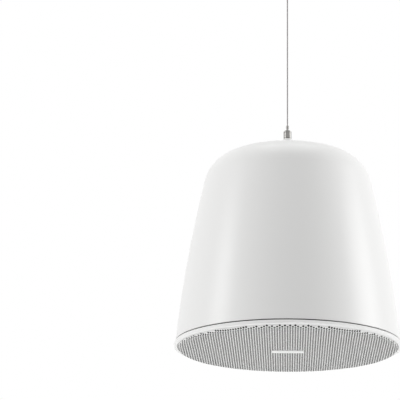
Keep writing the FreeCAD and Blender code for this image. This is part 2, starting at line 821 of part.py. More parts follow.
def make_suspension():
    """The wire rope from the gripper to its crimped end, which sits in the ceiling coupler."""
    height = cell("coupler_height")
    edge = cell("coupler_chamfer")
    outer = cell("coupler_radius")
    thread_bottom = height - cell("ceiling_thread_depth")
    finish("ceiling_coupler", turned("ceiling_coupler", [
        (wire_hole, 0), (outer - edge, 0), (outer, edge), (outer, height - edge), (outer - edge, height),
        (cell("ceiling_thread_radius"), height), (cell("ceiling_thread_radius"), thread_bottom),
        (cell("coupler_chamber_radius"), thread_bottom),
        (cell("coupler_chamber_radius"), cell("coupler_floor")),
        (wire_hole, cell("coupler_floor"))], z=coupler_bottom))
    ferrule_bottom = coupler_bottom + cell("coupler_floor")
    finish("wire_ferrule", ring("wire_ferrule", cell("wire_radius") + cell("thread_gap"),
                                cell("ferrule_radius"), cell("ferrule_height"), z=ferrule_bottom))
    wire_end = spacer_top + cell("thread_engagement") + cell("seat_gap")
    finish("suspension_wire", cylinder("suspension_wire", cell("wire_radius"),
                                       ferrule_bottom + cell("ferrule_height") - wire_end, z=wire_end))


# The baffle, the bezel and the grille

def make_baffle():
    outer = rim_radius - cell("shell_wall") - cell("baffle_gap")
    step = cell("driver_recess")
    thick = cell("baffle_thickness")
    blank = turned("baffle_blank", [
        (driver_hole, step), (recess_radius, step), (recess_radius, 0), (outer, 0),
        (outer, thick), (recess_ring, thick), (recess_ring, step + thick),
        (driver_hole, step + thick)], z=lip)
    tools = []
    for index, side in enumerate((-1, 1)):
        tools.append(cylinder("port_hole_%d" % index, cell("port_radius") + cell("thread_gap"),
                              3 * thick, port_offset * side, 0, lip - thick))
    for index, (x, y) in enumerate(around(whole("assembly_screw_count"), screw_circle)):
        tools.append(cylinder("baffle_hole_%d" % index,
                              cell("assembly_screw_radius") + cell("screw_clearance"),
                              3 * thick, x, y, lip - thick))
    for index, (x, y) in enumerate(woofer_screw_places()):
        tools.append(cylinder("woofer_pilot_%d" % index, cell("woofer_screw_radius") + cell("thread_gap"),
                              thick - cell("seat_gap"), x, y, driver_ledge))
    for index, (x, y) in enumerate(corners(cell("board_screw_x"), cell("board_screw_y"))):
        tools.append(cylinder("board_pilot_%d" % index, small_pilot, thick - cell("seat_gap"),
                              x, y + board_offset, lip + cell("seat_gap")))
    finish("baffle", cut("baffle", blank, fuse("baffle_tools", tools)))


def woofer_screw_places():
    count = whole("woofer_screw_count")
    circle = cell("basket_radius") - cell("woofer_screw_inset")
    return list(around(count, circle, 180.0 / count))


def make_bezel():
    height = cell("bezel_height")
    edge = cell("bezel_edge_round")
    step_outer = gasket_inner - cell("spigot_clearance")
    step_top = height + cell("parting_gap")
    foot_level = height - cell("bezel_foot_thickness")
    blank = turned("bezel_blank", [
        (bezel_inner, 0), (bezel_radius - edge, 0), Bend(centre_height=edge), (bezel_radius, edge),
        (rim_radius + cell("bezel_step"), height), (step_outer, height), (step_outer, step_top),
        (bezel_foot, step_top), (bezel_foot, foot_level), (bezel_inner, foot_level)], z=bezel_bottom)
    screws = list(around(whole("assembly_screw_count"), screw_circle))
    holes = [cylinder("bezel_hole_%d" % index, cell("assembly_screw_radius") + cell("screw_clearance"),
                      3 * height, x, y, bezel_bottom - height) for index, (x, y) in enumerate(screws)]
    finish("bezel_ring", cut("bezel_ring", blank, fuse("bezel_holes", holes)))
    finish("assembly_screws", group("assembly_screws", [
        screw("assembly_screw_%d" % index, cell("assembly_screw_radius"), cell("assembly_screw_length"),
              x, y, foot_bottom) for index, (x, y) in enumerate(screws)]))


def make_grille():
    """A pressed metal pan; its fine perforation is shown by a coarser hexagonal field of holes."""
    wall = cell("grille_thickness")
    edge = cell("grille_edge_round")
    height = foot_bottom - grille_bottom
    pan = turned("grille_pan", [
        (0, 0), (grille_radius - edge, 0), Bend(centre_height=edge), (grille_radius, edge),
        (grille_radius, height), (grille_radius - wall, height), (grille_radius - wall, edge),
        Bend(centre_height=edge, left=False), (grille_radius - edge, wall), (0, wall)], z=grille_bottom)
    rings = whole("grille_hole_rings")
    pitch = (scrim_radius - cell("grille_hole_margin")).value / rings
    radius = cell("grille_hole_radius").value
    holes = []
    for row in range(-rings, rings + 1):
        for step in range(max(-rings, -rings - row), min(rings, rings - row) + 1):
            centre = FreeCAD.Vector(pitch * (step + row / 2), pitch * row * math.sqrt(3) / 2, 0)
            holes.append(Part.makeCylinder(radius, 3 * wall.value, centre))
    field = doc.addObject("Part::Feature", "grille_hole_field")
    field.Shape = Part.makeCompound(holes)
    place(field, z=grille_bottom - wall)
    finish("grille", cut("grille", pan, field))
    finish("grille_scrim", cylinder("grille_scrim", scrim_radius, cell("scrim_thickness"),
                                    z=grille_bottom + wall))
    finish("name_plate", box("name_plate", cell("name_plate_length"), cell("name_plate_width"),
                             cell("name_plate_thickness"),
                             z=grille_bottom - cell("name_plate_thickness")))


# The woofer, whose front faces down; its heights run from the front face of its flange

def make_basket():
    wall = cell("basket_wall")
    outer_wall = driver_hole - cell("basket_clearance")
    inner_wall = outer_wall - wall
    bend_level = ledge_top - woofer_front + wall
    seat = cell("spider_seat_depth")
    seat_inner = cell("basket_seat_radius")
    seat_outer = seat_inner + cell("spider_seat_width")
    depth = cell("basket_depth")
    blank = turned("basket_blank", [
        (inner_wall, 0), (cell("basket_radius"), 0), (cell("basket_radius"), wall), (outer_wall, wall),
        (outer_wall, bend_level), (seat_outer + wall, seat + wall), (seat_inner + wall, seat + wall),
        (seat_inner + wall, depth + wall), (cell("basket_back_hole_radius"), depth + wall),
        (cell("basket_back_hole_radius"), depth), (seat_inner, depth), (seat_inner, seat),
        (seat_outer, seat), (inner_wall, bend_level)], z=woofer_front)
    tools = []
    count = whole("basket_window_count")
    level = woofer_front + (bend_level + seat) / 2
    for index, (x, y) in enumerate(around(count, seat_inner)):
        window = cylinder("basket_window_%d" % index, cell("basket_window_radius"),
                          outer_wall - seat_inner, x, y, level)
        angle = 360.0 * index / count
        spin = FreeCAD.Rotation(FreeCAD.Vector(0, 0, 1), angle)
        tilt = FreeCAD.Rotation(FreeCAD.Vector(0, 1, 0), 90)
        window.Placement.Rotation = spin.multiply(tilt)
        tools.append(window)
    for index, (x, y) in enumerate(woofer_screw_places()):
        tools.append(cylinder("flange_hole_%d" % index,
                              cell("woofer_screw_radius") + cell("screw_clearance"),
                              3 * wall, x, y, woofer_front - wall))
    finish("woofer_basket", cut("woofer_basket", blank, fuse("basket_tools", tools)))
    gasket = ring("woofer_gasket_blank", driver_hole, cell("basket_radius"),
                  cell("gasket_thickness"), z=driver_ledge - cell("gasket_thickness"))
    holes = [cylinder("gasket_hole_%d" % index, cell("woofer_screw_radius") + cell("screw_clearance"),
                      3 * cell("gasket_thickness"), x, y, driver_ledge - 2 * cell("gasket_thickness"))
             for index, (x, y) in enumerate(woofer_screw_places())]
    finish("woofer_gasket", cut("woofer_gasket", gasket, fuse("gasket_holes", holes)))
    finish("woofer_screws", group("woofer_screws", [
        screw("woofer_screw_%d" % index, cell("woofer_screw_radius"), cell("woofer_screw_length"),
              x, y, woofer_front) for index, (x, y) in enumerate(woofer_screw_places())]))
    finish("woofer_terminals", box("woofer_terminals", cell("terminal_strip_length"),
                                   cell("terminal_strip_thickness"), cell("terminal_strip_height"),
                                   0, seat_inner + wall + cell("spider_seat_width") / 2,
                                   woofer_front + seat + wall))


def make_cone():
    wall = cell("cone_wall")
    lip_inner = surround_inner - cell("surround_lip")
    lip_outer = surround_inner
    roll_end = surround_outer
    skin = cell("surround_thickness")
    flange_end = roll_end + cell("surround_lip")
    finish("woofer_surround", turned("woofer_surround", [
        (lip_inner, -skin), (lip_outer, -skin), Bend(centre_height=-skin), (roll_end, -skin),
        (flange_end, -skin), (flange_end, 0), (roll_end - skin, 0), (roll_end - skin, -skin),
        Bend(centre_height=-skin, left=False), (lip_outer + skin, -skin), (lip_outer + skin, 0),
        (lip_inner, 0)], z=woofer_front))
    coil_outer = cell("coil_radius") + cell("coil_wall")
    depth = cell("spider_seat_depth") - cell("cone_neck_drop")
    collar_top = depth + cell("cone_collar_height")
    finish("woofer_cone", turned("woofer_cone", [
        (coil_outer, depth), (lip_inner, 0), (lip_outer, 0), (lip_outer, wall),
        (lip_inner + wall / 2, wall), (coil_outer + wall, depth + wall), (coil_outer + wall, collar_top),
        (coil_outer, collar_top)], z=woofer_front))
    former_bottom = depth - cell("former_overhang")
    former_top = former_bottom + cell("coil_length")
    winding_bottom = former_top - cell("winding_length")
    winding_outer = coil_outer + cell("winding_thickness")
    finish("voice_coil", turned("voice_coil", [
        (cell("coil_radius"), former_bottom), (coil_outer, former_bottom), (coil_outer, winding_bottom),
        (winding_outer, winding_bottom), (winding_outer, former_top), (cell("coil_radius"), former_top)],
        z=woofer_front))
    waves = whole("spider_wave_count")
    start = coil_outer + cell("spider_inner_land")
    end = cell("basket_seat_radius") - cell("spider_outer_land")
    edge = cell("basket_seat_radius") + cell("spider_seat_width") - cell("seat_gap")
    level = cell("spider_seat_depth")
    below = [(coil_outer, level - cell("spider_thickness"))]
    for index in range(2 * waves + 1):
        radius = start + (end - start) * (index / (2 * waves))
        drop = cell("spider_wave") if index % 2 else 0
        below.append((radius, level - cell("spider_thickness") - drop))
    below.append((edge, level - cell("spider_thickness")))
    above = [(radius, height + cell("spider_thickness")) for radius, height in reversed(below)]
    finish("spider", turned("spider", below + above, z=woofer_front))


def make_magnet():
    pole = cell("coil_radius") - cell("magnet_gap")
    gap_outer = cell("coil_radius") + cell("coil_wall") + cell("winding_thickness") + cell("magnet_gap")
    washer = cell("front_washer_thickness")
    magnet = cell("magnet_height")
    finish("woofer_front_washer", ring("woofer_front_washer", gap_outer, cell("front_washer_radius"),
                                       washer, z=basket_back))
    finish("woofer_magnet", ring("woofer_magnet", cell("magnet_hole_radius"), cell("magnet_radius"),
                                 magnet, z=basket_back + washer))
    top = washer + magnet
    finish("woofer_yoke", turned("woofer_yoke", [
        (0, 0), (pole, 0), (pole, top), (cell("front_washer_radius"), top),
        (cell("front_washer_radius"), top + cell("yoke_thickness")), (0, top + cell("yoke_thickness"))],
        z=basket_back))


def make_tweeter():
    """The tweeter stands on the woofer's pole, in front of the cone."""
    plate = cell("faceplate_thickness")
    throat = cell("tweeter_dome_radius") + cell("tweeter_dome_wall") + cell("magnet_gap")
    front = woofer_front + cell("tweeter_level")
    cup_front = front + plate
    wall = cell("tweeter_cup_wall")
    cup = cell("tweeter_cup_radius")
    height = cell("tweeter_cup_height")
    finish("tweeter_faceplate", turned("tweeter_faceplate", [
        (throat + cell("faceplate_lip"), 0), (cell("faceplate_radius"), 0),
        (cell("faceplate_radius"), plate), (throat, plate)], z=front))
    finish("tweeter_cup", turned("tweeter_cup", [
        (0, height - wall), (cup - wall, height - wall), (cup - wall, 0), (cup, 0), (cup, height),
        (0, height)], z=cup_front))
    magnet = cell("tweeter_magnet_height")
    finish("tweeter_magnet", cylinder("tweeter_magnet", cell("tweeter_magnet_radius"), magnet,
                                      z=cup_front + height - wall - magnet))
    finish("tweeter_post", cylinder("tweeter_post", cell("post_radius"),
                                    basket_back - cup_front - height, z=cup_front + height))
    rise = cell("tweeter_dome_rise")
    skin = cell("tweeter_dome_wall")
    inner = cell("tweeter_dome_radius")
    outer = inner + skin
    edge = cell("seat_gap") * 2
    coil_top = edge + cell("tweeter_coil_length")
    finish("tweeter_dome", turned("tweeter_dome", [
        (0, edge - rise), Bend(centre_radius=0), (outer, edge), (outer, coil_top), (inner, coil_top),
        (inner, edge + skin), Bend(centre_radius=0, left=False), (0, edge + skin - rise)], z=cup_front))


def make_ports():
    outer = cell("port_radius")
    inner = outer - cell("port_wall")
    flange = cell("port_flange_thickness")
    mouth = cell("port_mouth_round")
    for label, side in (("port_tube_left", -1), ("port_tube_right", 1)):
        finish(label, turned(label, [
            (inner, mouth - flange), Bend(centre_height=mouth - flange), (inner + mouth, -flange),
            (cell("port_flange_radius"), -flange), (cell("port_flange_radius"), 0), (outer, 0),
            (outer, cell("port_length")), (inner, cell("port_length"))],
            x=port_offset * side, z=lip))


# The crossover on the baffle, and the line transformer under the hanger plate

def make_crossover():
    middle = board_offset
    places = [(x, y + middle) for x, y in corners(cell("board_screw_x"), cell("board_screw_y"))]
    thick = cell("board_thickness")
    holes = [cylinder("board_hole_%d" % index, small_hole, 3 * thick, x, y, board_bottom - thick)
             for index, (x, y) in enumerate(places)]
    blank = box("board_blank", cell("board_length"), cell("board_width"), thick, 0, middle, board_bottom)
    finish("crossover_board", cut("crossover_board", blank, fuse("board_holes", holes)))
    finish("board_spacers", group("board_spacers", [
        ring("board_spacer_%d" % index, small_hole, cell("spacer_tube_radius"), cell("board_standoff"),
             x, y, baffle_top) for index, (x, y) in enumerate(places)]))
    length = thick + cell("board_standoff") + cell("board_screw_bite")
    finish("board_screws", group("board_screws", [
        screw("board_screw_%d" % index, cell("small_screw_radius"), length, x, y, board_top, upward=False)
        for index, (x, y) in enumerate(places)]))
    finish("crossover_inductor", ring("crossover_inductor", cell("inductor_hole_radius"),
                                      cell("inductor_radius"), cell("inductor_height"),
                                      cell("inductor_x"), middle, board_top))
    finish("crossover_capacitors", group("crossover_capacitors", [
        cylinder("capacitor_%d" % index, cell("capacitor_radius"), cell("capacitor_length"),
                 cell("capacitor_x") + cell("capacitor_pitch") * index, middle, board_top)
        for index in range(2)]))
    finish("crossover_resistor", box("crossover_resistor", cell("resistor_length"), cell("resistor_width"),
                                     cell("resistor_height"), cell("resistor_x"),
                                     middle + cell("resistor_y"), board_top))


def make_transformer():
    length = cell("core_length")
    stack = cell("core_stack")
    height = cell("core_height")
    limb = cell("core_limb")
    window = cell("core_window_width")
    window_height = cell("core_window_height")
    window_bottom = core_bottom + (height - window_height) / 2
    windows = [box("core_window_%d" % index, window, 2 * stack, window_height,
                   (limb + window) / 2 * side, 0, window_bottom)
               for index, side in enumerate((-1, 1))]
    blank = box("core_blank", length, stack, height, z=core_bottom)
    finish("transformer_core", cut("transformer_core", blank, fuse("core_windows", windows)))
    build = cell("winding_build")
    gap = cell("thread_gap")
    turns = box("winding_blank", limb + 2 * build, stack + 2 * build, window_height - 2 * gap,
                z=window_bottom + gap)
    room = box("winding_room", limb + 2 * gap, stack + 2 * gap, 2 * window_height,
               z=window_bottom - window_height / 2)
    finish("transformer_winding", cut("transformer_winding", turns, room))
    sheet_wall = cell("bracket_thickness")
    foot = cell("bracket_foot")
    foot_x = (length + foot) / 2 + sheet_wall
    leg_height = plate_bottom - core_bottom + sheet_wall
    pieces = [box("bracket_strap", length + 2 * sheet_wall, stack, sheet_wall, z=core_bottom - sheet_wall)]
    for index, side in enumerate((-1, 1)):
        pieces.append(box("bracket_leg_%d" % index, sheet_wall, stack, leg_height,
                          (length + sheet_wall) / 2 * side, 0, core_bottom - sheet_wall))
        pieces.append(box("bracket_foot_%d" % index, foot + 2 * sheet_wall, stack, sheet_wall,
                          foot_x * side, 0, plate_bottom - sheet_wall))
    holes = [cylinder("bracket_hole_%d" % index, small_hole, 3 * sheet_wall, foot_x * side, 0,
                      plate_bottom - 2 * sheet_wall) for index, side in enumerate((-1, 1))]
    finish("transformer_bracket", cut("transformer_bracket", fuse("bracket_blank", pieces),
                                      fuse("bracket_holes", holes)))
    finish("transformer_screws", group("transformer_screws", [
        screw("transformer_screw_%d" % index, cell("small_screw_radius"),
              sheet_wall + cell("plate_thickness"), foot_x * side, 0, plate_bottom - sheet_wall)
        for index, side in enumerate((-1, 1))]))


# The terminal well: panel, terminals, tap selector, and the cover with its cable inlet

def make_terminals():
    middle = cell("well_offset")
    gap = cell("cover_clearance")
    ledge = cell("well_ledge_width")
    thick = cell("panel_thickness")
    places = [(x, y + middle) for x, y in corners(cell("panel_screw_x"), cell("panel_screw_y"))]
    holes = [cylinder("panel_hole_%d" % index, small_hole, 3 * thick, x, y, well_floor - thick)
             for index, (x, y) in enumerate(places)]
    spindle_hole = cell("spindle_radius") + cell("spindle_clearance")
    holes.append(cylinder("panel_spindle_hole", spindle_hole, 3 * thick, cell("knob_x"), middle,
                          well_floor - thick))
    inset = ledge + gap
    blank = box("panel_blank", cell("well_length") - 2 * inset, cell("well_width") - 2 * inset,
                thick, 0, middle, well_floor)
    finish("terminal_panel", cut("terminal_panel", blank, fuse("panel_holes", holes)))
    finish("panel_screws", group("panel_screws", [
        screw("panel_screw_%d" % index, cell("small_screw_radius"), thick + cell("well_wall"),
              x, y, panel_top, upward=False) for index, (x, y) in enumerate(places)]))

    count = whole("terminal_count")
    pitch = cell("terminal_length") / count
    wells = []
    for index in range(count):
        x = cell("terminal_x") + pitch * (index - (count - 1) / 2)
        well = cylinder("terminal_hole_%d" % index, cell("terminal_hole_radius"),
                        cell("terminal_width") / 2, x, middle - cell("terminal_width") / 2,
                        panel_top + cell("terminal_height") / 3)
        well.Placement.Rotation = FreeCAD.Rotation(FreeCAD.Vector(1, 0, 0), -90)
        wells.append(well)
        wells.append(cylinder("terminal_screw_well_%d" % index, cell("terminal_hole_radius"),
                              cell("terminal_height") / 3, x, middle + cell("terminal_width") / 4,
                              panel_top + cell("terminal_height") * 2 / 3))
    block = box("terminal_blank", cell("terminal_length"), cell("terminal_width"), cell("terminal_height"),
                cell("terminal_x"), middle, panel_top)
    finish("input_terminals", cut("input_terminals", block, fuse("terminal_wells", wells)))

    reach = cell("spindle_length") - cell("knob_lift") - thick
    switch = cylinder("switch_blank", cell("switch_radius"), cell("switch_height"),
                      cell("knob_x"), middle, well_floor - cell("switch_height"))
    bore = cylinder("switch_bore", spindle_hole, reach + cell("seat_gap") + thick, cell("knob_x"), middle,
                    well_floor - reach - cell("seat_gap"))
    finish("tap_switch", cut("tap_switch", switch, bore))
    knob_bottom = panel_top + cell("knob_lift")
    knob_top = knob_bottom + cell("knob_height")
    finish("tap_knob", fuse("tap_knob", [
        cylinder("knob_skirt", cell("knob_radius"), cell("knob_height"),
                 cell("knob_x"), middle, knob_bottom),
        box("knob_grip", cell("knob_grip_length"), cell("knob_grip_width"), cell("knob_grip_height"),
            cell("knob_x"), middle, knob_top),
        cylinder("knob_spindle", cell("spindle_radius"), cell("spindle_length"), cell("knob_x"), middle,
                 knob_bottom - cell("spindle_length"))]))

    cover = cell("cover_thickness")
    cover_holes = [cylinder("cover_hole_%d" % index, small_hole, 3 * cover, cover_screw_x * side, middle,
                            well_ledge - cover) for index, side in enumerate((-1, 1))]
    cover_holes.append(cylinder("inlet_hole", cell("grommet_neck_radius") + cell("thread_gap"), 3 * cover,
                                cell("grommet_x"), middle, well_ledge - cover))
    lid = box("cover_blank", cell("well_length") - 2 * gap, cell("well_width") - 2 * gap, cover,
              0, middle, well_ledge)
    finish("terminal_cover", cut("terminal_cover", lid, fuse("cover_holes", cover_holes)))
    finish("cover_screws", group("cover_screws", [
        screw("cover_screw_%d" % index, cell("small_screw_radius"), cell("small_screw_length"),
              cover_screw_x * side, middle, cover_top, upward=False)
        for index, side in enumerate((-1, 1))]))
    rim_width = cell("grommet_lip")
    neck = cell("grommet_neck_radius")
    flange = cell("grommet_flange_radius")
    finish("cable_grommet", turned("cable_grommet", [
        (cell("inlet_radius"), -rim_width), (neck + rim_width, -rim_width), (neck + rim_width, 0),
        (neck, 0), (neck, cover), (flange, cover), (flange, cover + rim_width),
        (cell("inlet_radius"), cover + rim_width)], x=cell("grommet_x"), y=middle, z=well_ledge))


# Soft lining and hook-up leads

def make_wadding():
    start = cell("wadding_bottom")
    height = cell("shell_height") - cell("wadding_top_drop") - start
    slab = cylinder("wadding_slab", rim_radius, height, z=rim + start)
    clear = cell("shell_wall") + cell("seat_gap")
    outside = common("wadding_outside", bell("wadding_bell", clear), slab)
    inside = bell("wadding_inside", clear + cell("wadding_thickness"))
    finish("damping_wadding", cut("damping_wadding", outside, inside))


def lead(name, points):
    """A round lead along straight runs that are joined by arcs."""
    points = [FreeCAD.Vector(*[as_size(number).value for number in point]) for point in points]
    share = cell("lead_bend_share").value
    edges = []
    start = points[0]
    for before, corner, after in zip(points, points[1:], points[2:]):
        arriving = (corner - before).normalize()
        leaving = (after - corner).normalize()
        half_turn = arriving.getAngle(leaving) / 2
        room = share * min((corner - before).Length, (after - corner).Length)
        first = corner - arriving * room
        last = corner + leaving * room
        inward = (leaving - arriving).normalize()
        radius = room / math.tan(half_turn)
        middle = corner + inward * (radius / math.cos(half_turn) - radius)
        edges.append(Part.makeLine(start, first))
        edges.append(Part.Arc(first, middle, last).toShape())
        start = last
        print("%s bend radius %.1f" % (name, radius))
    edges.append(Part.makeLine(start, points[-1]))
    path = Part.Wire(edges)
    section = Part.Wire(Part.makeCircle(cell("lead_radius").value, points[0], points[1] - points[0]))
    tube = doc.addObject("Part::Feature", name)
    tube.Shape = path.makePipeShell([section], True, True)
    expected = math.pi * cell("lead_radius").value ** 2 * path.Length
    print("%s volume %.1f, section by length %.1f" % (name, tube.Shape.Volume, expected))
    finish(name, tube)


def between(start, end, across, down):
    """A point on the way from start to end, by its share across and its share down."""
    return (start[0] + (end[0] - start[0]) * across, start[1] + (end[1] - start[1]) * across,
            start[2] + (end[2] - start[2]) * down)


def make_leads():
    strip_y = (cell("basket_seat_radius") + cell("basket_wall")
               + (cell("spider_seat_width") + cell("terminal_strip_thickness")) / 2)
    strip_z = (woofer_front + cell("spider_seat_depth") + cell("basket_wall")
               + cell("terminal_strip_height") / 2)
    foot = (cell("driver_lead_x"), board_offset - cell("driver_lead_inset"), board_top)
    lifted = (foot[0], foot[1], board_top + cell("driver_lead_rise"))
    strip = (cell("driver_lead_end_x"), strip_y, strip_z)
    before_strip = (strip[0], strip_y + cell("driver_lead_end_run"), strip_z)
    lead("driver_lead", [foot, lifted, between(lifted, before_strip, 0.52, 1.9), before_strip, strip])

    winding_y = cell("core_stack") / 2 + cell("winding_build")
    well_y = cell("well_offset")
    lead_x = cell("terminal_x")
    dropped = well_floor - cell("input_lead_drop")
    low = dropped - cell("input_lead_fall")
    lead("input_lead", [
        (lead_x, well_y, well_floor), (lead_x, well_y, dropped),
        (lead_x, well_y - cell("input_lead_step"), low), (lead_x, winding_y, low)])

    foot_x = cell("transformer_lead_x")
    above = (foot_x, board_offset, board_top + cell("transformer_lead_rise"))
    winding = (as_size(0), winding_y, core_middle)
    clear = (winding[0], winding_y + cell("transformer_lead_run"), core_middle)
    route = [(0.38, 0.11), (0.63, 0.35), (0.78, 0.61), (0.93, 0.85)]
    lead("transformer_lead", [winding, clear] + [
        between(clear, above, across, down) for across, down in route] + [
        above, (foot_x, board_offset, board_top)])


make_shell()
make_gasket()
make_hanger()
make_gripper()
make_suspension()
make_baffle()
make_bezel()
make_grille()
make_basket()
make_cone()
make_magnet()
make_tweeter()
make_ports()
make_crossover()
make_transformer()
make_terminals()
make_wadding()
make_leads()

# Check every object, then write each sub-part
doc.recompute()
for item in doc.Objects:
    if "Invalid" in item.State or "Error" in item.State:
        raise RuntimeError("failed: %s %s" % (item.Name, item.State))
os.makedirs("parts", exist_ok=True)
for piece in finished:
    if piece.Shape.isNull() or not piece.Shape.isValid():
        raise RuntimeError("bad shape: %s" % piece.Label)
    piece.Shape.exportStep(os.path.join("parts", piece.Label + ".step"))
    solid_box = piece.Shape.BoundBox
    print("%-24s solids %d volume %.1f z %.2f to %.2f" % (
        piece.Label, len(piece.Shape.Solids), piece.Shape.Volume, solid_box.ZMin, solid_box.ZMax))
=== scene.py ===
# %% [markdown]
# A white pendant loudspeaker hangs from a thin wire rope. Its casing is one smooth bell, its
# mouth faces the floor, and a perforated steel pan closes the mouth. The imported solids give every
# piece its true size and place. This lesson adds what solids do not have: the fine holes, the
# cloth behind them, the turned metal of the hanger, and a finish for every surface.

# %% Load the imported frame
import json
import math

import bmesh
import bpy
from mathutils import Matrix, Vector


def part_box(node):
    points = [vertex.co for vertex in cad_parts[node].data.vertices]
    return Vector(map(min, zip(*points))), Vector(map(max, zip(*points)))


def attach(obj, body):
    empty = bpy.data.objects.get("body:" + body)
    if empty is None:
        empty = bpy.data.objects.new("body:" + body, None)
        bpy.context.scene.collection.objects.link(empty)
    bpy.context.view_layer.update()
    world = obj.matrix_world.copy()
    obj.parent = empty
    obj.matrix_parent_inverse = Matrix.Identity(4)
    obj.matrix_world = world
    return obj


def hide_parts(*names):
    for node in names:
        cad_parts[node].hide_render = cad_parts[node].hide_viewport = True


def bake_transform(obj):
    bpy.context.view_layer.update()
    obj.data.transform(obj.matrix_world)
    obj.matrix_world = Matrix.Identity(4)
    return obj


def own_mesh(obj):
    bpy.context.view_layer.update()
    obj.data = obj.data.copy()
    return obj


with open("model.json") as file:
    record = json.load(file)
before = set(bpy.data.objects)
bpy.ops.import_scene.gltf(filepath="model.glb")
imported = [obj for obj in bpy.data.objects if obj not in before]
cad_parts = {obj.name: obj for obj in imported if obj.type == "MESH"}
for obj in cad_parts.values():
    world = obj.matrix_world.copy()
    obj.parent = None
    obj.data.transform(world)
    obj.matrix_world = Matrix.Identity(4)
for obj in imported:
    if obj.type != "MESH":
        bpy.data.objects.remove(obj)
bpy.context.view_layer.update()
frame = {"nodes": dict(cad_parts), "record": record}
nodes = frame["nodes"]

# %% [markdown]
# The photograph was taken from below, with a long lens. The camera is placed by one fact that can
# be read off it: how wide open the ellipse of the parting groove looks, which gives the angle.
# The lens could be shifted to put the speaker off the middle, but a shift stays on when the camera
# moves. So the camera is turned instead, until the groove's centre lands on its own pixel. A turned
# camera makes the wire lean a little, so it is also rolled until the wire stands upright.

# %% Camera
FRAME_SIZE = 400
GROOVE_PIXEL = (287.6, 343.1)
GROOVE_CENTRE = Vector((0.0, 0.0, (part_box("enclosure_shell")[0].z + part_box("bezel_ring")[1].z) / 2))
LOOK_UP = math.radians(12.0)
ROLL = math.radians(0.77)
DISTANCE = 2.6
LENS = 166.0
SENSOR = 36.0


def aim(look_up, roll, pixel):
    """The camera's turn that puts a point seen at look_up on a pixel."""
    offset = (Vector(pixel) - Vector((FRAME_SIZE, FRAME_SIZE)) / 2) * SENSOR / FRAME_SIZE / LENS
    offset.rotate(Matrix.Rotation(-roll, 2))
    across, down = offset
    depth = 1 / math.sqrt(1 + across ** 2 + down ** 2)
    turn = math.asin(across * depth / math.cos(look_up))
    level, rise = math.cos(turn) * math.cos(look_up), math.sin(look_up)
    tilt = math.atan2(rise, level) + math.asin(down * depth / math.hypot(level, rise))
    return (Matrix.Rotation(turn, 3, "Z") @ Matrix.Rotation(math.pi / 2 + tilt, 3, "X")
            @ Matrix.Rotation(roll, 3, "Z"))


camera_data = bpy.data.cameras.new("camera")
camera_data.lens = LENS
camera_data.sensor_width = SENSOR
camera_data.sensor_fit = "HORIZONTAL"
camera = bpy.data.objects.new("camera", camera_data)
camera.location = GROOVE_CENTRE - DISTANCE * Vector((0, math.cos(LOOK_UP), math.sin(LOOK_UP)))
camera.rotation_euler = aim(LOOK_UP, ROLL, GROOVE_PIXEL).to_euler()
bpy.context.scene.collection.objects.link(camera)
bpy.context.scene.camera = camera
print("camera turned by", [round(math.degrees(angle), 2) for angle in camera.rotation_euler])

# %% [markdown]
# The wire rope carries the whole weight, so it is dead straight. It could be a plain cylinder, but
# a rope is better kept as a curve with a round section: its length can be measured, and its line
# stays editable. Four control points lie on the axis, two of them near the clamps at its ends.

# %% The suspension wire
WIRE_RADIUS = 0.0009
WIRE_POINTS = [(0, 0, -0.2449), (0, 0, -0.2280), (0, 0, -0.0220), (0, 0, -0.0120)]


def round_curve(name, points, radius):
    """A curve with a round section, smooth between its control points."""
    curve = bpy.data.curves.new(name, "CURVE")
    curve.dimensions = "3D"
    curve.bevel_depth = 1.0
    curve.bevel_resolution = 6
    curve.use_fill_caps = True
    spline = curve.splines.new("NURBS")
    spline.points.add(len(points) - 1)
    for control, place in zip(spline.points, points):
        control.co = (*place, 1)
        control.radius = radius
    spline.order_u = 3
    spline.use_endpoint_u = True
    piece = bpy.data.objects.new(name, curve)
    bpy.context.scene.collection.objects.link(piece)
    return piece


wire = round_curve("wire_rope", WIRE_POINTS, WIRE_RADIUS)
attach(wire, "speaker")
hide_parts("suspension_wire")

# %% [markdown]
# A finish is a graph of shader nodes, and wiring one by hand takes many lines. Here a small class
# holds an output socket, and Python's own signs add the maths nodes: `0.4 + 0.1 * grain` reads like
# the sum it is. A second class holds the material and adds any other node by its type.

# %% Shader arithmetic
class Value:
    """An output socket that can be used in plain arithmetic."""

    def __init__(self, finish, socket):
        self.finish = finish
        self.socket = socket

    def __add__(self, other):
        return self.finish.math("ADD", self, other)

    def __mul__(self, other):
        return self.finish.math("MULTIPLY", self, other)

    def __sub__(self, other):
        return self.finish.math("SUBTRACT", self, other)

    def __rsub__(self, other):
        return self.finish.math("SUBTRACT", other, self)

    __radd__ = __add__
    __rmul__ = __mul__


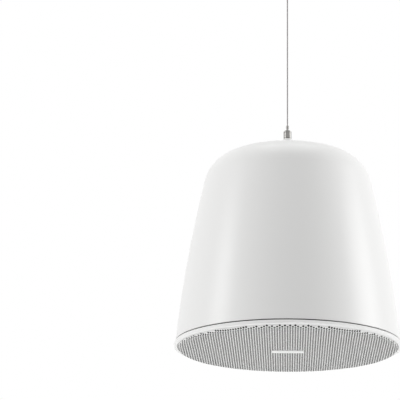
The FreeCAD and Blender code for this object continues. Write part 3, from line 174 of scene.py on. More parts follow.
class Finish:
    """One material, whose surface is a Principled shader."""

    def __init__(self, name, **constants):
        self.material = bpy.data.materials.new(name)
        self.material.use_nodes = True
        self.tree = self.material.node_tree
        self.shader = self.tree.nodes["Principled BSDF"]
        for socket, value in constants.items():
            self.shader.inputs[socket.replace("_", " ")].default_value = value

    def node(self, kind, inputs=None, output=0, **settings):
        """Adds a node: its settings first, then its sockets' values or links."""
        made = self.tree.nodes.new(kind)
        for name, value in settings.items():
            setattr(made, name, value)
        for key, value in (inputs or {}).items():
            self.feed(made.inputs[key], value)
        return Value(self, made.outputs[output])

    def feed(self, socket, value):
        if isinstance(value, Value):
            self.tree.links.new(value.socket, socket)
        else:
            socket.default_value = value

    def math(self, operation, *values):
        return self.node("ShaderNodeMath", dict(enumerate(values)), operation=operation)

    def sine(self, value):
        return 0.5 + 0.5 * self.math("SINE", value)

    def place(self):
        """The point on the surface, in metres, in the speaker's own frame."""
        return self.node("ShaderNodeTexCoord", output="Object")

    def axes(self):
        """The same point as three numbers."""
        split = self.node("ShaderNodeSeparateXYZ", {0: self.place()})
        return [Value(self, socket) for socket in split.socket.node.outputs]

    def noise(self, scale, detail=2.0, stretch=None):
        """Cloudy noise from 0 to 1; stretch squeezes it along an axis."""
        point = self.place()
        if stretch:
            point = self.node("ShaderNodeMapping", {"Vector": point, "Scale": stretch})
        return self.node("ShaderNodeTexNoise", {"Vector": point, "Scale": scale, "Detail": detail})

    def mix(self, share, first, second):
        """A colour between two, by a share from 0 to 1."""
        return self.node("ShaderNodeMix", {0: share, 6: (*first, 1), 7: (*second, 1)}, output=2,
                         data_type="RGBA")

    def set(self, **sockets):
        for name, value in sockets.items():
            self.feed(self.shader.inputs[name.replace("_", " ")], value)
        return self

    def bump(self, height, depth, strength=1.0):
        """Raises the surface by depth, in metres, where height is 1."""
        inputs = {"Height": height, "Distance": depth, "Strength": strength}
        return self.set(Normal=self.node("ShaderNodeBump", inputs))


print("shader helpers ready")

# %% [markdown]
# Moulded and painted surfaces look flat only from afar. Close up, the colour drifts a little, the
# gloss changes in patches, and a fine grain breaks the highlight. One function makes them all, from
# a colour, a gloss, and the size and depth of the grain. Pale paint gets the finest grain, and
# rubber the coarsest.

# %% Moulded and painted finishes
def coated(name, colour, roughness, grain, depth, drift=0.04, **constants):
    """A paint or plastic with a drifting tone, an uneven gloss and a fine grain."""
    finish = Finish(name, **constants)
    cloud = finish.noise(9.0, 3.0)
    deep = [part * (1 - drift) for part in colour]
    finish.set(Base_Color=finish.mix(cloud, colour, deep))
    finish.set(Roughness=roughness + 0.08 * (finish.noise(55.0) - 0.5))
    finish.bump(finish.noise(grain, 3.0), depth, 0.6)
    return finish.material


WHITE = (0.86, 0.86, 0.852)
finishes = {
    "shell_white": coated("satin_white_shell", WHITE, 0.32, 2600.0, 0.00003, drift=0.012),
    "grille_white": coated("powder_white_steel", WHITE, 0.48, 1900.0, 0.00005, drift=0.02),
    "rubber_black": coated("black_rubber", (0.03, 0.03, 0.03), 0.78, 1100.0, 0.00006, drift=0.3),
    "black_plastic": coated("black_moulding", (0.035, 0.035, 0.038), 0.5, 1500.0, 0.00006,
                            drift=0.2),
    "painted_steel": coated("black_enamel", (0.045, 0.045, 0.05), 0.34, 700.0, 0.00004, drift=0.2,
                            Coat_Weight=0.2),
    "ferrite": coated("sintered_ferrite", (0.09, 0.09, 0.092), 0.85, 2200.0, 0.0001, drift=0.5),
    "cement": coated("white_ceramic", (0.82, 0.81, 0.77), 0.8, 1400.0, 0.0001, drift=0.1),
    "capacitor_film": coated("blue_film_wrap", (0.08, 0.1, 0.28), 0.28, 600.0, 0.00004, drift=0.2),
    "terminal_green": coated("green_terminal", (0.07, 0.3, 0.14), 0.45, 1500.0, 0.00005,
                             drift=0.15),
    "lead_jacket": coated("lead_jacket", (0.1, 0.1, 0.11), 0.55, 1200.0, 0.00006, drift=0.2),
}
print("coated finishes:", len(finishes))

# %% [markdown]
# Metal is told by its marks. A turned part carries fine rings left by the tool, so its noise is
# squeezed along the axis it was turned on. A plated pressing is cloudy, with grey drifts in its
# shine. Wound copper wire and stacked sheets of iron show as fine lines, which are a sine of one
# coordinate. All of it goes to the roughness and the bump.

# %% Metal finishes
def turned_metal(name, colour, roughness):
    """Bright metal with the fine rings of the lathe, about the upright axis."""
    finish = Finish(name, Metallic=1.0)
    rings = finish.noise(160.0, 3.0, stretch=(0.6, 0.6, 55.0))
    dull = [part * 0.86 for part in colour]
    finish.set(Base_Color=finish.mix(rings, colour, dull))
    finish.set(Roughness=roughness + 0.16 * (rings - 0.5))
    finish.bump(rings, 0.00002, 0.5)
    return finish.material


def plated_metal(name, colour, roughness):
    """Zinc plate, cloudy and a little uneven."""
    finish = Finish(name, Metallic=1.0)
    cloud = finish.noise(240.0, 4.0)
    dull = [part * 0.75 for part in colour]
    finish.set(Base_Color=finish.mix(cloud, colour, dull))
    finish.set(Roughness=roughness + 0.25 * (cloud - 0.5))
    finish.bump(finish.noise(1800.0), 0.00003, 0.5)
    return finish.material


def layered(name, colour, gap_colour, spacing, axis, **constants):
    """Fine parallel lines across one axis, as of a winding or of stacked sheets."""
    finish = Finish(name, **constants)
    line = finish.sine(finish.axes()[axis] * (2 * math.pi / spacing))
    tone = line * (0.8 + 0.2 * finish.noise(300.0))
    finish.set(Base_Color=finish.mix(tone, gap_colour, colour))
    finish.bump(line, spacing * 0.2, 0.7)
    return finish.material


def stranded_metal(name, colour, lay_length, strands):
    """Wire rope: its strands wind about the upright axis, once in a lay length."""
    finish = Finish(name, Metallic=0.9)
    x, y, z = finish.axes()
    around = finish.math("ARCTAN2", y, x)
    strand = finish.sine(strands * (around + z * (2 * math.pi / lay_length)))
    dark = [part * 0.35 for part in colour]
    finish.set(Base_Color=finish.mix(strand, dark, colour))
    finish.set(Roughness=0.5 - 0.15 * strand)
    finish.bump(strand, 0.0002)
    return finish.material


finishes.update({
    "nickel": turned_metal("turned_nickel", (0.28, 0.275, 0.265), 0.24),
    "plated_steel": plated_metal("zinc_plate", (0.6, 0.6, 0.58), 0.36),
    "wire_steel": stranded_metal("stranded_steel", (0.42, 0.40, 0.40), 0.012, 6),
    "copper": layered("wound_copper", (0.72, 0.36, 0.18), (0.2, 0.08, 0.04), 0.0007, 2,
                      Metallic=0.9, Roughness=0.3),
    "laminations": layered("stacked_iron", (0.24, 0.24, 0.25), (0.05, 0.05, 0.05), 0.0006, 1,
                           Metallic=0.6, Roughness=0.5),
})
print("metal finishes:", len(finishes))

# %% [markdown]
# Cloth is threads over threads. Two sines, one along X and one along Y, cross to make a plain
# weave, and their product is both the bump and the shade between the threads. The same recipe
# makes the black acoustic cloth, the silk of the tweeter and the stiff cotton of the spider, and
# only the thread and the colour change. Wadding has no weave, so it is deep noise.

# %% Cloth, fibre, cone and board finishes
def woven(name, colour, thread, roughness):
    """A plain weave of threads of one width."""
    finish = Finish(name, Sheen_Weight=0.25)
    x, y, _ = finish.axes()
    turns = math.pi / thread
    weave = finish.sine(x * turns) * finish.sine(y * turns)
    gap = [part * 0.3 for part in colour]
    finish.set(Base_Color=finish.mix(weave, gap, colour), Roughness=roughness)
    finish.bump(weave, thread * 0.3)
    return finish.material


def fibrous(name, colour):
    """Loose fibre, rough all over."""
    finish = Finish(name, Sheen_Weight=0.4, Roughness=0.95)
    tangle = finish.noise(420.0, 8.0)
    shade = [part * 0.6 for part in colour]
    finish.set(Base_Color=finish.mix(tangle, shade, colour))
    finish.bump(tangle, 0.0015)
    return finish.material


def pressed_cone(name, colour, spacing):
    """A pressed cone, with the faint rings of its tool."""
    finish = Finish(name)
    x, y, _ = finish.axes()
    radius = finish.math("SQRT", x * x + y * y)
    rings = finish.sine(radius * (2 * math.pi / spacing))
    pale = [part * 1.5 for part in colour]
    finish.set(Base_Color=finish.mix(rings * 0.5, colour, pale))
    finish.set(Roughness=0.42 + 0.1 * finish.noise(200.0))
    finish.bump(rings, 0.0001, 0.5)
    return finish.material


def circuit_board(name):
    """Green solder mask over copper tracks, with the glass weave showing faintly."""
    finish = Finish(name, Coat_Weight=0.3)
    bricks = {"Vector": finish.place(), "Scale": 90.0, "Mortar Size": 0.035,
              "Color1": (0, 0, 0, 1), "Color2": (0, 0, 0, 1), "Mortar": (1, 1, 1, 1)}
    tracks = finish.node("ShaderNodeTexBrick", bricks, output=1)
    finish.set(Base_Color=finish.mix(tracks, (0.03, 0.16, 0.07), (0.14, 0.34, 0.13)),
               Roughness=0.3 + 0.1 * finish.noise(500.0))
    finish.bump(tracks, 0.00004)
    return finish.material


finishes.update({
    "scrim_black": woven("black_acoustic_cloth", (0.03, 0.03, 0.03), 0.0004, 0.9),
    "dome_silk": woven("coated_silk", (0.06, 0.06, 0.06), 0.0003, 0.55),
    "spider_cloth": woven("stiff_cotton", (0.6, 0.47, 0.2), 0.0008, 0.85),
    "wadding": fibrous("polyester_fibre", (0.85, 0.85, 0.82)),
    "cone_polymer": pressed_cone("pressed_polymer", (0.07, 0.07, 0.08), 0.004),
    "board_laminate": circuit_board("solder_mask"),
})
print("all finishes:", len(finishes))

# %% [markdown]
# The solids that stay as they are take their finish by the name that the parts list gives them.
# One loop is enough, because the list already says which piece is made of what.

# %% Dress the solids
slot_of = {row["node"]: row["material_slot"] for row in frame["record"]["subparts"]}
for name, solid in nodes.items():
    if not solid.material_slots:
        solid.data.materials.append(None)
    for holder in solid.material_slots:
        holder.material = finishes[slot_of[name]]
wire.data.materials.append(finishes["wire_steel"])
print("solids dressed:", len(nodes))

# %% [markdown]
# The pan's holes are the speaker's face. They could be painted on with a mask, but then nothing
# would show through them and a low light would not catch their edges. So one hole is modelled in
# its own small rectangle, with twelve sides, and copied: a few doublings fill a field. The columns
# run away from the viewer, so a low look along the pan still tells them apart. Every second column
# is moved by half a pitch, and the rectangles' edge points are spaced so that they still meet. The
# real holes are finer still, and would melt into one grey here.

# %% One hole, and a field of them
HOLE_PITCH = 0.004
COLUMN_PITCH = HOLE_PITCH * math.sqrt(3) / 2
HOLE_RADIUS = 0.00152
HOLE_SIDES = 12
MERGE = 0.00002


def hole_cell(mesh):
    """A hole with its share of the sheet around it."""
    ring = bmesh.ops.create_circle(mesh, segments=HOLE_SIDES, radius=HOLE_RADIUS)["verts"]
    grown = bmesh.ops.extrude_edge_only(mesh, edges=list(mesh.edges))["geom"]
    for corner in (item for item in grown if isinstance(item, bmesh.types.BMVert)):
        across, along = corner.co.x / HOLE_RADIUS, corner.co.y / HOLE_RADIUS
        step_x = min(1.0, round(abs(2 * across)))
        step_y = min(1.0, round(abs(2 * along)) / 2)
        corner.co.x = math.copysign(step_x * COLUMN_PITCH / 2, across)
        corner.co.y = math.copysign(step_y * HOLE_PITCH / 2, along)


def double(mesh, shift):
    """Copies all of the mesh, and moves the copy."""
    copied = bmesh.ops.duplicate(mesh, geom=mesh.verts[:] + mesh.edges[:] + mesh.faces[:])["geom"]
    moved = [item for item in copied if isinstance(item, bmesh.types.BMVert)]
    bmesh.ops.translate(mesh, verts=moved, vec=shift)


def cell_centre(point):
    """The centre of the hole in whose rectangle a point of the field lies."""
    column = round(point.x / COLUMN_PITCH)
    offset = HOLE_PITCH / 2 if column % 2 else 0.0
    row = round((point.y - offset) / HOLE_PITCH)
    return Vector((column * COLUMN_PITCH, row * HOLE_PITCH + offset, 0))


def hole_field(reach):
    """A square field of holes that reaches that far from the centre on each side."""
    mesh = bmesh.new()
    hole_cell(mesh)
    along = math.ceil(math.log2(2 * reach / HOLE_PITCH + 2))
    across = math.ceil(math.log2(2 * reach / COLUMN_PITCH + 2))
    for level in range(along):
        double(mesh, (0, HOLE_PITCH * 2 ** level, 0))
    double(mesh, (COLUMN_PITCH, HOLE_PITCH / 2, 0))
    for level in range(1, across):
        double(mesh, (COLUMN_PITCH * 2 ** level, 0, 0))
    middle = Vector((COLUMN_PITCH * 2 ** (across - 1), HOLE_PITCH * 2 ** (along - 1), 0))
    bmesh.ops.translate(mesh, verts=mesh.verts, vec=-cell_centre(middle))
    return mesh


print("hole field: pitch", HOLE_PITCH * 1000, "mm")

# %% [markdown]
# The real pan is pressed from a flat perforated disc. The mesh is made in the same order: the field
# is trimmed to the holes that fit, the gap to a true circle is filled, and then the flat disc is
# bent. Points past the flat floor of the pan are laid along its round edge, so the holes run up the
# edge as they do on the real one.

# %% The flat disc, and its bend
pan_low, pan_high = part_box("grille")
PAN_RADIUS = pan_high.x
PAN_EDGE = 0.006
PAN_FLAT = PAN_RADIUS - PAN_EDGE
SHEET = 0.0006
HOLE_LIMIT = PAN_FLAT + 0.0078
SOLID_RING = PAN_FLAT + 0.0091
PAN_ARC = PAN_FLAT + PAN_EDGE * math.pi / 2
RING_STEPS = 240
ON_HOLE = 1.02


def perforated_disc():
    """The flat disc: whole holes inside the limit, and plain sheet out to the edge."""
    mesh = hole_field(PAN_ARC)
    outside = [face for face in mesh.faces
               if cell_centre(face.calc_center_median()).length + HOLE_RADIUS > HOLE_LIMIT]
    bmesh.ops.delete(mesh, geom=outside, context="FACES")
    bmesh.ops.remove_doubles(mesh, verts=mesh.verts, dist=MERGE)
    steps = []
    for edge in mesh.edges:
        middle = (edge.verts[0].co + edge.verts[1].co) / 2
        if edge.is_boundary and (middle - cell_centre(middle)).length > HOLE_RADIUS * ON_HOLE:
            steps.append(edge)
    before = set(mesh.edges)
    bmesh.ops.create_circle(mesh, segments=RING_STEPS, radius=SOLID_RING)
    circle = [edge for edge in mesh.edges if edge not in before]
    bmesh.ops.triangle_fill(mesh, edges=steps + circle, use_beauty=True, normal=(0, 0, 1))
    grown = bmesh.ops.extrude_edge_only(mesh, edges=circle)["geom"]
    circle = [item for item in grown if isinstance(item, bmesh.types.BMEdge)]
    for point in {corner for edge in circle for corner in edge.verts}:
        point.co *= PAN_ARC / point.co.length
    return mesh, circle


def bend_into_pan(mesh):
    """Lays the flat disc along the pan: a flat floor, then a round edge."""
    for point in mesh.verts:
        flat_radius = point.co.length
        angle = max(0.0, flat_radius - PAN_FLAT) / PAN_EDGE
        radius = min(flat_radius, PAN_FLAT) + PAN_EDGE * math.sin(angle)
        point.co *= radius / max(flat_radius, MERGE)
        point.co.z = pan_low.z + PAN_EDGE * (1 - math.cos(angle))


disc, outer_edges = perforated_disc()
bend_into_pan(disc)
wall = bmesh.ops.extrude_edge_only(disc, edges=outer_edges)["geom"]
for point in (item for item in wall if isinstance(item, bmesh.types.BMVert)):
    point.co.z = pan_high.z
print("disc: faces", len(disc.faces), "points", len(disc.verts))

# %% [markdown]
# A sheet has two sides and a thickness, and the walls of its holes are what shows at a low angle.
# The walls of the holes and the back of the sheet take the black cloth's finish, and only the
# front is white: painted shade, standing in for the shadow down each hole at a low angle. The disc
# is made in four quarters, which keeps each mesh light enough to handle, and they meet without a gap.

# %% The four quarters of the pan
FRONT_SHARE = 0.6
SMOOTH_ANGLE = 35.0


def front_share(face):
    """How much a face looks out of the pan: near 1 on its front, near 0 on a hole's wall."""
    middle = face.calc_center_median()
    radius = math.hypot(middle.x, middle.y)
    lean = min(1.0, max(0.0, (radius - PAN_FLAT) / PAN_EDGE))
    out = Vector((middle.x / radius * lean, middle.y / radius * lean, -math.sqrt(1 - lean ** 2)))
    return face.normal.dot(out)


def new_piece(name, mesh, materials):
    """Turns a bmesh into an object, smooth but for its sharp edges."""
    data = bpy.data.meshes.new(name)
    mesh.to_mesh(data)
    mesh.free()
    for material in materials:
        data.materials.append(material)
    data.shade_smooth()
    data.set_sharp_from_angle(angle=math.radians(SMOOTH_ANGLE))
    piece = bpy.data.objects.new(name, data)
    bpy.context.scene.collection.objects.link(piece)
    return piece


quarters = []
for side_x in (-1, 1):
    for side_y in (-1, 1):
        part = disc.copy()
        beyond = []
        for face in part.faces:
            middle = face.calc_center_median()
            if len(face.verts) == 4 and middle.xy.length < HOLE_LIMIT:
                middle = cell_centre(middle)
            if (middle.x >= 0) != (side_x > 0) or (middle.y >= 0) != (side_y > 0):
                beyond.append(face)
        bmesh.ops.delete(part, geom=beyond, context="FACES")
        bmesh.ops.recalc_face_normals(part, faces=part.faces)
        if sum(face.normal.z for face in part.faces) > 0:
            bmesh.ops.reverse_faces(part, faces=part.faces)
        bmesh.ops.solidify(part, geom=part.faces[:], thickness=SHEET)
        part.normal_update()
        # Faces that do not look out of the pan get the black cloth: painted shade in the hole walls.
        for face in part.faces:
            face.material_index = 0 if front_share(face) > FRONT_SHARE else 1
        name = "grille_quarter_%d" % (len(quarters) + 1)
        piece = new_piece(name, part, [finishes["grille_white"], finishes["scrim_black"]])
        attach(piece, "speaker")
        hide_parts("grille")
        quarters.append(piece)
        print(name, "faces", len(piece.data.polygons))
disc.free()

# %% [markdown]
# Behind the steel lies the acoustic cloth, cupped into the pan so that it also backs the holes on
# the round edge. It is turned from one open line: along the floor, round the edge, and up the wall.
# A spin makes such a shape in one step, and a thin wall is added to it last.

# %% The acoustic cloth
CLOTH_GAP = 0.00012
CLOTH = 0.0003
FLOOR_SHARES = 6


def spun(name, outline, materials, steps):
    """Turns an outline of (radius, height) points about the upright axis.

    The piece is closed if the outline ends where it began."""
    mesh = bmesh.new()
    points = [mesh.verts.new((radius, 0, height)) for radius, height in outline]
    edges = [mesh.edges.new(pair) for pair in zip(points, points[1:])]
    bmesh.ops.spin(mesh, geom=points + edges, cent=(0, 0, 0), axis=(0, 0, 1), angle=2 * math.pi,
                   steps=steps, use_merge=True)
    bmesh.ops.remove_doubles(mesh, verts=mesh.verts, dist=MERGE / 10)
    bmesh.ops.recalc_face_normals(mesh, faces=mesh.faces)
    return new_piece(name, mesh, materials)


def arc(centre_radius, centre_height, radius, first, last, steps):
    """Points of an arc, by its centre, its radius and its two angles in degrees."""
    for step in range(steps + 1):
        angle = math.radians(first + (last - first) * step / steps)
        yield (centre_radius + radius * math.cos(angle), centre_height + radius * math.sin(angle))


cloth_radius = PAN_EDGE - SHEET - CLOTH_GAP - CLOTH
cloth_floor = pan_low.z + PAN_EDGE - cloth_radius
cloth_line = [(PAN_FLAT * share / FLOOR_SHARES, cloth_floor) for share in range(FLOOR_SHARES)]
cloth_line += list(arc(PAN_FLAT, pan_low.z + PAN_EDGE, cloth_radius, -90, 0, 8))
cloth = spun("acoustic_cloth", cloth_line, [finishes["scrim_black"]], steps=120)
thickness = cloth.modifiers.new("thickness", "SOLIDIFY")
thickness.thickness = CLOTH
thickness.offset = 0.0
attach(cloth, "speaker")
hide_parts("grille_scrim")

# %% [markdown]
# The woofer's cone hangs in two soft rings: a rubber surround at its rim, and a spider of
# corrugated cotton at its neck. Their outer edges are glued to the basket, and their inner edges
# follow the cone. Each ring is cut into sectors, each spun about its own middle. Neighbours meet
# without a gap, because the cut between them lies at the same angle from both middles.

# %% The soft rings round the cone
SECTORS = 12
SECTOR_STEPS = 8
HALF_SECTOR = math.pi / SECTORS


def flexing_ring(node, outline):
    """Spins a closed outline into sectors.

    Each is spun about its own middle and stays where it is built."""
    for index in range(SECTORS):
        middle = 2 * HALF_SECTOR * index
        mesh = bmesh.new()
        points = [mesh.verts.new((radius, 0, height)) for radius, height in outline]
        rim = [mesh.edges.new(pair) for pair in zip(points, points[1:] + points[:1])]
        section = bmesh.ops.triangle_fill(mesh, edges=rim, use_beauty=True)["geom"]
        section = [face for face in section if isinstance(face, bmesh.types.BMFace)]
        bmesh.ops.rotate(mesh, verts=points, matrix=Matrix.Rotation(middle - HALF_SECTOR, 3, "Z"))
        bmesh.ops.spin(mesh, geom=points + rim + section, cent=(0, 0, 0), axis=(0, 0, 1),
                       angle=2 * HALF_SECTOR, steps=SECTOR_STEPS)
        bmesh.ops.recalc_face_normals(mesh, faces=mesh.faces)
        sector = new_piece(f"{node}_sector_{index + 1}", mesh, [finishes[slot_of[node]]])
        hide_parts(node)
        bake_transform(sector)


RUBBER = 0.0008
LIP_WIDTH = 0.0026
ROLL_INNER = 0.0610
ROLL_OUTER = 0.0725
ROLL_RADIUS = (ROLL_OUTER - ROLL_INNER) / 2
ROLL_MIDDLE = (ROLL_OUTER + ROLL_INNER) / 2
flange_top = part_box("woofer_surround")[1].z
flange_low = flange_top - RUBBER
surround_line = [(ROLL_INNER - LIP_WIDTH, flange_low)]
surround_line += list(arc(ROLL_MIDDLE, flange_low, ROLL_RADIUS, -180, 0, 24))
surround_line += [(ROLL_OUTER + LIP_WIDTH, flange_low), (ROLL_OUTER + LIP_WIDTH, flange_top),
                  (ROLL_OUTER - RUBBER, flange_top)]
surround_line += list(arc(ROLL_MIDDLE, flange_low, ROLL_RADIUS - RUBBER, 0, -180, 24))
surround_line += [(ROLL_INNER + RUBBER, flange_top), (ROLL_INNER - LIP_WIDTH, flange_top)]
flexing_ring("woofer_surround", surround_line)

COTTON = 0.0005
WAVE_DEPTH = 0.0012
WAVES = 4
NECK = 0.0134
WAVES_INNER = 0.0174
WAVES_OUTER = 0.0440
spider_low, spider_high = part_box("spider")
spider_line = [(NECK, spider_high.z)]
for index in range(2 * WAVES + 1):
    spider_line.append((WAVES_INNER + (WAVES_OUTER - WAVES_INNER) * index / (2 * WAVES),
                        spider_high.z - WAVE_DEPTH * (index % 2)))
spider_line.append((spider_high.x, spider_high.z))
spider_line += [(radius, height - COTTON) for radius, height in reversed(spider_line)]
flexing_ring("spider", spider_line)
print("soft rings in", SECTORS, "sectors each")

# %% [markdown]
# The gripper is a small turned part: a barrel, a shoulder, a thin stem, and a button that is
# pressed to free the wire. On solids its edges are knife sharp, and a sharp edge never catches
# light. So the outline is drawn again with small chamfers and two shallow grooves, and spun.
# Inside, the chamber that narrows to a cone stays as it was.

# %% The gripper's barrel
CHAMFER = 0.0003
GROOVE = 0.00025
body_low, body_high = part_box("gripper_body")
barrel = body_high.x
BARREL_TOP = body_low.z + 0.0121
NECK_RADIUS = 0.0030
NECK_BORE = 0.00175
CONE_TOP = body_low.z + 0.0126
CONE_TOP_RADIUS = 0.0019
CHAMBER_TOP = body_low.z + 0.0080
CHAMBER_RADIUS = 0.0042
THREAD_TOP = body_low.z + 0.0036
THREAD_RADIUS = 0.00305
GROOVES = (0.0016, 0.0100)


def barrel_outline():
    """The gripper's outline, from its lower face up to the neck and down through the chamber."""
    outline = [(THREAD_RADIUS, body_low.z), (barrel - CHAMFER, body_low.z),
               (barrel, body_low.z + CHAMFER)]
    for height in GROOVES:
        level = body_low.z + height
        outline += [(barrel, level - GROOVE), (barrel - GROOVE, level), (barrel, level + GROOVE)]
    outline += list(arc(barrel - 2 * CHAMFER, BARREL_TOP - 2 * CHAMFER, 2 * CHAMFER, 0, 60, 4))
    outline += [(NECK_RADIUS + CHAMFER, body_high.z - CHAMFER), (NECK_RADIUS, body_high.z),
                (NECK_BORE, body_high.z), (NECK_BORE, CONE_TOP), (CONE_TOP_RADIUS, CONE_TOP),
                (CHAMBER_RADIUS, CHAMBER_TOP), (CHAMBER_RADIUS, THREAD_TOP),
                (THREAD_RADIUS, THREAD_TOP), (THREAD_RADIUS, body_low.z)]
    return outline


gripper = spun("gripper_barrel", barrel_outline(), [finishes["nickel"]], steps=64)
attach(gripper, "speaker")
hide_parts("gripper_body")
print("gripper", round((body_high.z - body_low.z) * 1000, 1), "mm tall")

# %% [markdown]
# The button is the top of a plunger. Inside the chamber the plunger widens to a cage with three
# pockets, one for each ball that wedges on the wire. The pockets could be part of the outline only
# if they ran all the way round, so they are cut afterwards: three spheres make one mesh, and a
# Boolean takes it away.

# %% The plunger, with its button
button_low, button_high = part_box("gripper_plunger")
BUTTON_RADIUS = 0.0022
BUTTON_HEIGHT = 0.0038
STEM_RADIUS = 0.0016
STEM_BORE = 0.0012
FLANGE = 0.0007
CAGE_TOP = button_low.z + 0.0041
CAGE_TOP_RADIUS = 0.0019
BALLS = 3
BALL_CIRCLE = 0.00178
BALL_LEVEL = button_low.z + 0.0024
POCKET_RADIUS = 0.00088
button_base = button_high.z - BUTTON_HEIGHT
button_line = [(STEM_BORE, button_low.z), (button_high.x, button_low.z),
               (button_high.x, button_low.z + FLANGE), (CAGE_TOP_RADIUS, CAGE_TOP),
               (STEM_RADIUS, CAGE_TOP), (STEM_RADIUS, button_base),
               (BUTTON_RADIUS - CHAMFER, button_base), (BUTTON_RADIUS, button_base + CHAMFER)]
button_line += list(arc(BUTTON_RADIUS - 2 * CHAMFER, button_high.z - 2 * CHAMFER, 2 * CHAMFER,
                        0, 90, 5))
button_line += [(STEM_BORE, button_high.z), (STEM_BORE, button_low.z)]
button = spun("press_button", button_line, [finishes["nickel"]], steps=48)

pocket_mesh = bmesh.new()
for index in range(BALLS):
    angle = 2 * math.pi * index / BALLS
    place = (BALL_CIRCLE * math.cos(angle), BALL_CIRCLE * math.sin(angle), BALL_LEVEL)
    bmesh.ops.create_uvsphere(pocket_mesh, u_segments=24, v_segments=12, radius=POCKET_RADIUS,
                              matrix=Matrix.Translation(place))
pockets = new_piece("ball_pockets", pocket_mesh, [finishes["nickel"]])
carving = button.modifiers.new("pockets", "BOOLEAN")
carving.object = pockets
carving.operation = "DIFFERENCE"
bpy.context.view_layer.update()
shaped = button.evaluated_get(bpy.context.evaluated_depsgraph_get())
carved = bpy.data.meshes.new_from_object(shaped)
button.modifiers.clear()
button.data = carved
carved.set_sharp_from_angle(angle=math.radians(SMOOTH_ANGLE))
bpy.data.objects.remove(pockets)
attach(button, "gripper_press_button")
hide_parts("gripper_plunger")
print("plunger faces", len(button.data.polygons))

# %% [markdown]
# Under the cage sits a coil spring, which pushes the button up again. It is a small circle, spun
# three times round while it climbs. On the real part its foot stays in the barrel while its top
# keeps up with the plunger. Here it rides with the barrel.

# %% The return spring
SPRING_WIRE = 0.00025
SPRING_TURNS = 3
TURN_STEPS = 36
spring_low = THREAD_TOP
spring_height = button_low.z - spring_low
coil = button_high.x - SPRING_WIRE
spring_steps = SPRING_TURNS * TURN_STEPS
spring_mesh = bmesh.new()
bmesh.ops.create_circle(spring_mesh, cap_ends=True, segments=12, radius=SPRING_WIRE,
                        matrix=Matrix.Translation((coil, 0, spring_low + SPRING_WIRE))
                        @ Matrix.Rotation(math.pi / 2, 4, "X"))
bmesh.ops.spin(spring_mesh, geom=spring_mesh.verts[:] + spring_mesh.edges[:] + spring_mesh.faces[:],
               cent=(0, 0, 0), axis=(0, 0, 1), angle=2 * math.pi * SPRING_TURNS, steps=spring_steps,
               dvec=(0, 0, (spring_height - 2 * SPRING_WIRE) / spring_steps))
bmesh.ops.recalc_face_normals(spring_mesh, faces=spring_mesh.faces)
spring = new_piece("return_spring", spring_mesh, [finishes[slot_of["gripper_spring"]]])
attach(spring, "speaker")
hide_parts("gripper_spring")
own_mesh(spring)
print("spring", round(spring_height * 1000, 2), "mm tall")

# %% [markdown]
# A white tube lifts the gripper clear of the crown. Only its upper end shows from below. Its ends
# are rounded over, because powder coat never holds on a sharp edge.

# %% The spacer under the gripper
spacer_low, spacer_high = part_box("hanger_spacer")
SPACER_BORE = 0.0033
SPACER_ROUND = 0.0008
round_centre = spacer_high.x - SPACER_ROUND
spacer_line = [(SPACER_BORE, spacer_low.z)]
spacer_line += list(arc(round_centre, spacer_low.z + SPACER_ROUND, SPACER_ROUND, -90, 0, 5))
spacer_line += list(arc(round_centre, spacer_high.z - SPACER_ROUND, SPACER_ROUND, 0, 90, 5))
spacer_line += [(SPACER_BORE, spacer_high.z), (SPACER_BORE, spacer_low.z)]
spacer = spun("white_spacer", spacer_line, [finishes["grille_white"]], steps=64)
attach(spacer, "speaker")
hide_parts("hanger_spacer")
print("spacer", round((spacer_high.z - spacer_low.z) * 1000, 1), "mm long")

# %% [markdown]
# A small plate sits in the middle of the pan. It is bare here. It starts as a cube, its upright
# corners are rounded, and then the edges of its face, so that it reads as a pressed plate.

# %% The name plate
PLATE_CORNER = 0.003
PLATE_EDGE = 0.0005
plate_low, plate_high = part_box("name_plate")
plate_mesh = bmesh.new()
bmesh.ops.create_cube(plate_mesh, size=1.0, matrix=Matrix.Translation((plate_low + plate_high) / 2)
                      @ Matrix.Diagonal((*(plate_high - plate_low), 1)))
upright = [edge for edge in plate_mesh.edges
           if abs((edge.verts[0].co - edge.verts[1].co).z) > MERGE]
bmesh.ops.bevel(plate_mesh, geom=upright, offset=PLATE_CORNER, affect="EDGES", segments=6,
                profile=0.5, material=-1)
face_edges = [edge for edge in plate_mesh.edges
              if all(abs(corner.co.z - plate_low.z) < MERGE for corner in edge.verts)]
bmesh.ops.bevel(plate_mesh, geom=face_edges, offset=PLATE_EDGE, affect="EDGES", segments=3,
                profile=0.5, material=-1)
name_plate = new_piece("bare_plate", plate_mesh, [finishes["grille_white"]])
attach(name_plate, "speaker")
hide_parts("name_plate")
print("plate faces", len(name_plate.data.polygons))

# %% [markdown]
# The studio is white all round. The white that the camera sees comes from the world's colour for
# camera rays, not from more light, so the casing keeps its own shade. The floor lies well below.
# It keeps its shade under the speaker, and glows more towards its rim, where it fades into the
# white behind it.

# %% Floor and world
FLOOR_LEVEL = -4.0
FLOOR_REACH = 9.0
FLOOR_GLOW = 0.2
RIM_GLOW = 0.8
AMBIENT = 0.56
DIRECT_RAYS = ("Is Camera Ray", "Is Glossy Ray", "Is Transmission Ray")


def seen_directly(finish):
    """1 for a ray from the camera, a mirror or a glass, and 0 for light that bounces."""
    rays = finish.node("ShaderNodeLightPath").socket.node.outputs
    camera_ray, glossy_ray, clear_ray = (Value(finish, rays[name]) for name in DIRECT_RAYS)
    return finish.math("MINIMUM", camera_ray + glossy_ray + clear_ray, 1.0)


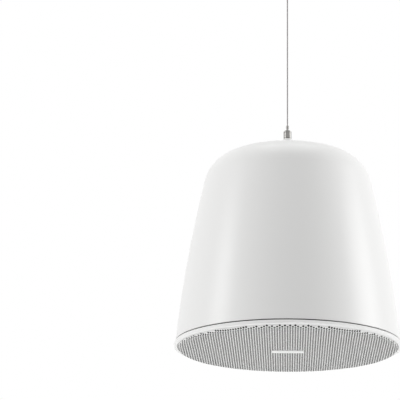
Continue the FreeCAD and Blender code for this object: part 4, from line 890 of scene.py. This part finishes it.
floor_mesh = bmesh.new()
bmesh.ops.create_circle(floor_mesh, cap_ends=True, segments=96, radius=FLOOR_REACH,
                        matrix=Matrix.Translation((0, 0, FLOOR_LEVEL)))
floor_finish = Finish("studio_floor", Roughness=0.9)
floor_finish.set(Base_Color=(0.8, 0.8, 0.8, 1), Emission_Strength=1.0)
east, north, _ = floor_finish.axes()
toward_rim = (east * east + north * north) * (1 / FLOOR_REACH ** 2)
glow = FLOOR_GLOW + (RIM_GLOW - FLOOR_GLOW) * floor_finish.math("MINIMUM", toward_rim, 1.0)
glow_seen = seen_directly(floor_finish) * glow
floor_finish.set(Emission_Color=floor_finish.mix(glow_seen, (0, 0, 0), (1, 1, 1)))
floor = new_piece("studio_floor", floor_mesh, [floor_finish.material])

world = bpy.data.worlds.new("studio")
bpy.context.scene.world = world
world.use_nodes = True


class WorldFinish(Finish):
    """The same helpers, on the world's own nodes."""

    def __init__(self, target):
        self.tree = target.node_tree


sky = WorldFinish(world)
background = world.node_tree.nodes["Background"]
background.inputs["Color"].default_value = (1, 1, 1, 1)
sky.feed(background.inputs["Strength"], AMBIENT + (1 - AMBIENT) * seen_directly(sky))
print("floor at", FLOOR_LEVEL, "ambient", AMBIENT)

# %% [markdown]
# Two tall soft boxes stand left and right of the speaker, a third hangs above it, and a fourth
# lies below it, for the pan. Nothing lights it from the camera's side. That gives a round white
# body its shape: the sides are bright, and the middle turns a calm grey. The lamps themselves are
# hidden from the camera, so that none shows in a view from another side.

# %% Lamps
MIDDLE = Vector((0, 0, -0.3))
LAMP_REACH = 2.2
LAMP_LEVEL = -0.1


def soft_box(name, place, size, power):
    """A rectangular lamp that faces the speaker."""
    lamp = bpy.data.lights.new(name, "AREA")
    lamp.shape = "RECTANGLE"
    lamp.size, lamp.size_y = size
    lamp.energy = power
    holder = bpy.data.objects.new(name, lamp)
    holder.location = place
    holder.rotation_euler = (MIDDLE - Vector(place)).to_track_quat("-Z", "Y").to_euler()
    holder.visible_camera = False
    bpy.context.scene.collection.objects.link(holder)


def beside(angle):
    """A place round the speaker, by its angle in degrees from the camera's side."""
    turned = math.radians(angle)
    return (LAMP_REACH * math.sin(turned), -LAMP_REACH * math.cos(turned), LAMP_LEVEL)


soft_box("left_box", beside(-73), (0.7, 2.0), 19.0)
soft_box("right_box", beside(89), (1.2, 2.0), 26.5)
soft_box("top_box", (0, 0, 1.9), (1.6, 1.6), 11.5)
soft_box("floor_box", (0, 0, -2.2), (1.6, 1.6), 15.0)
bpy.context.scene.view_settings.view_transform = "Standard"
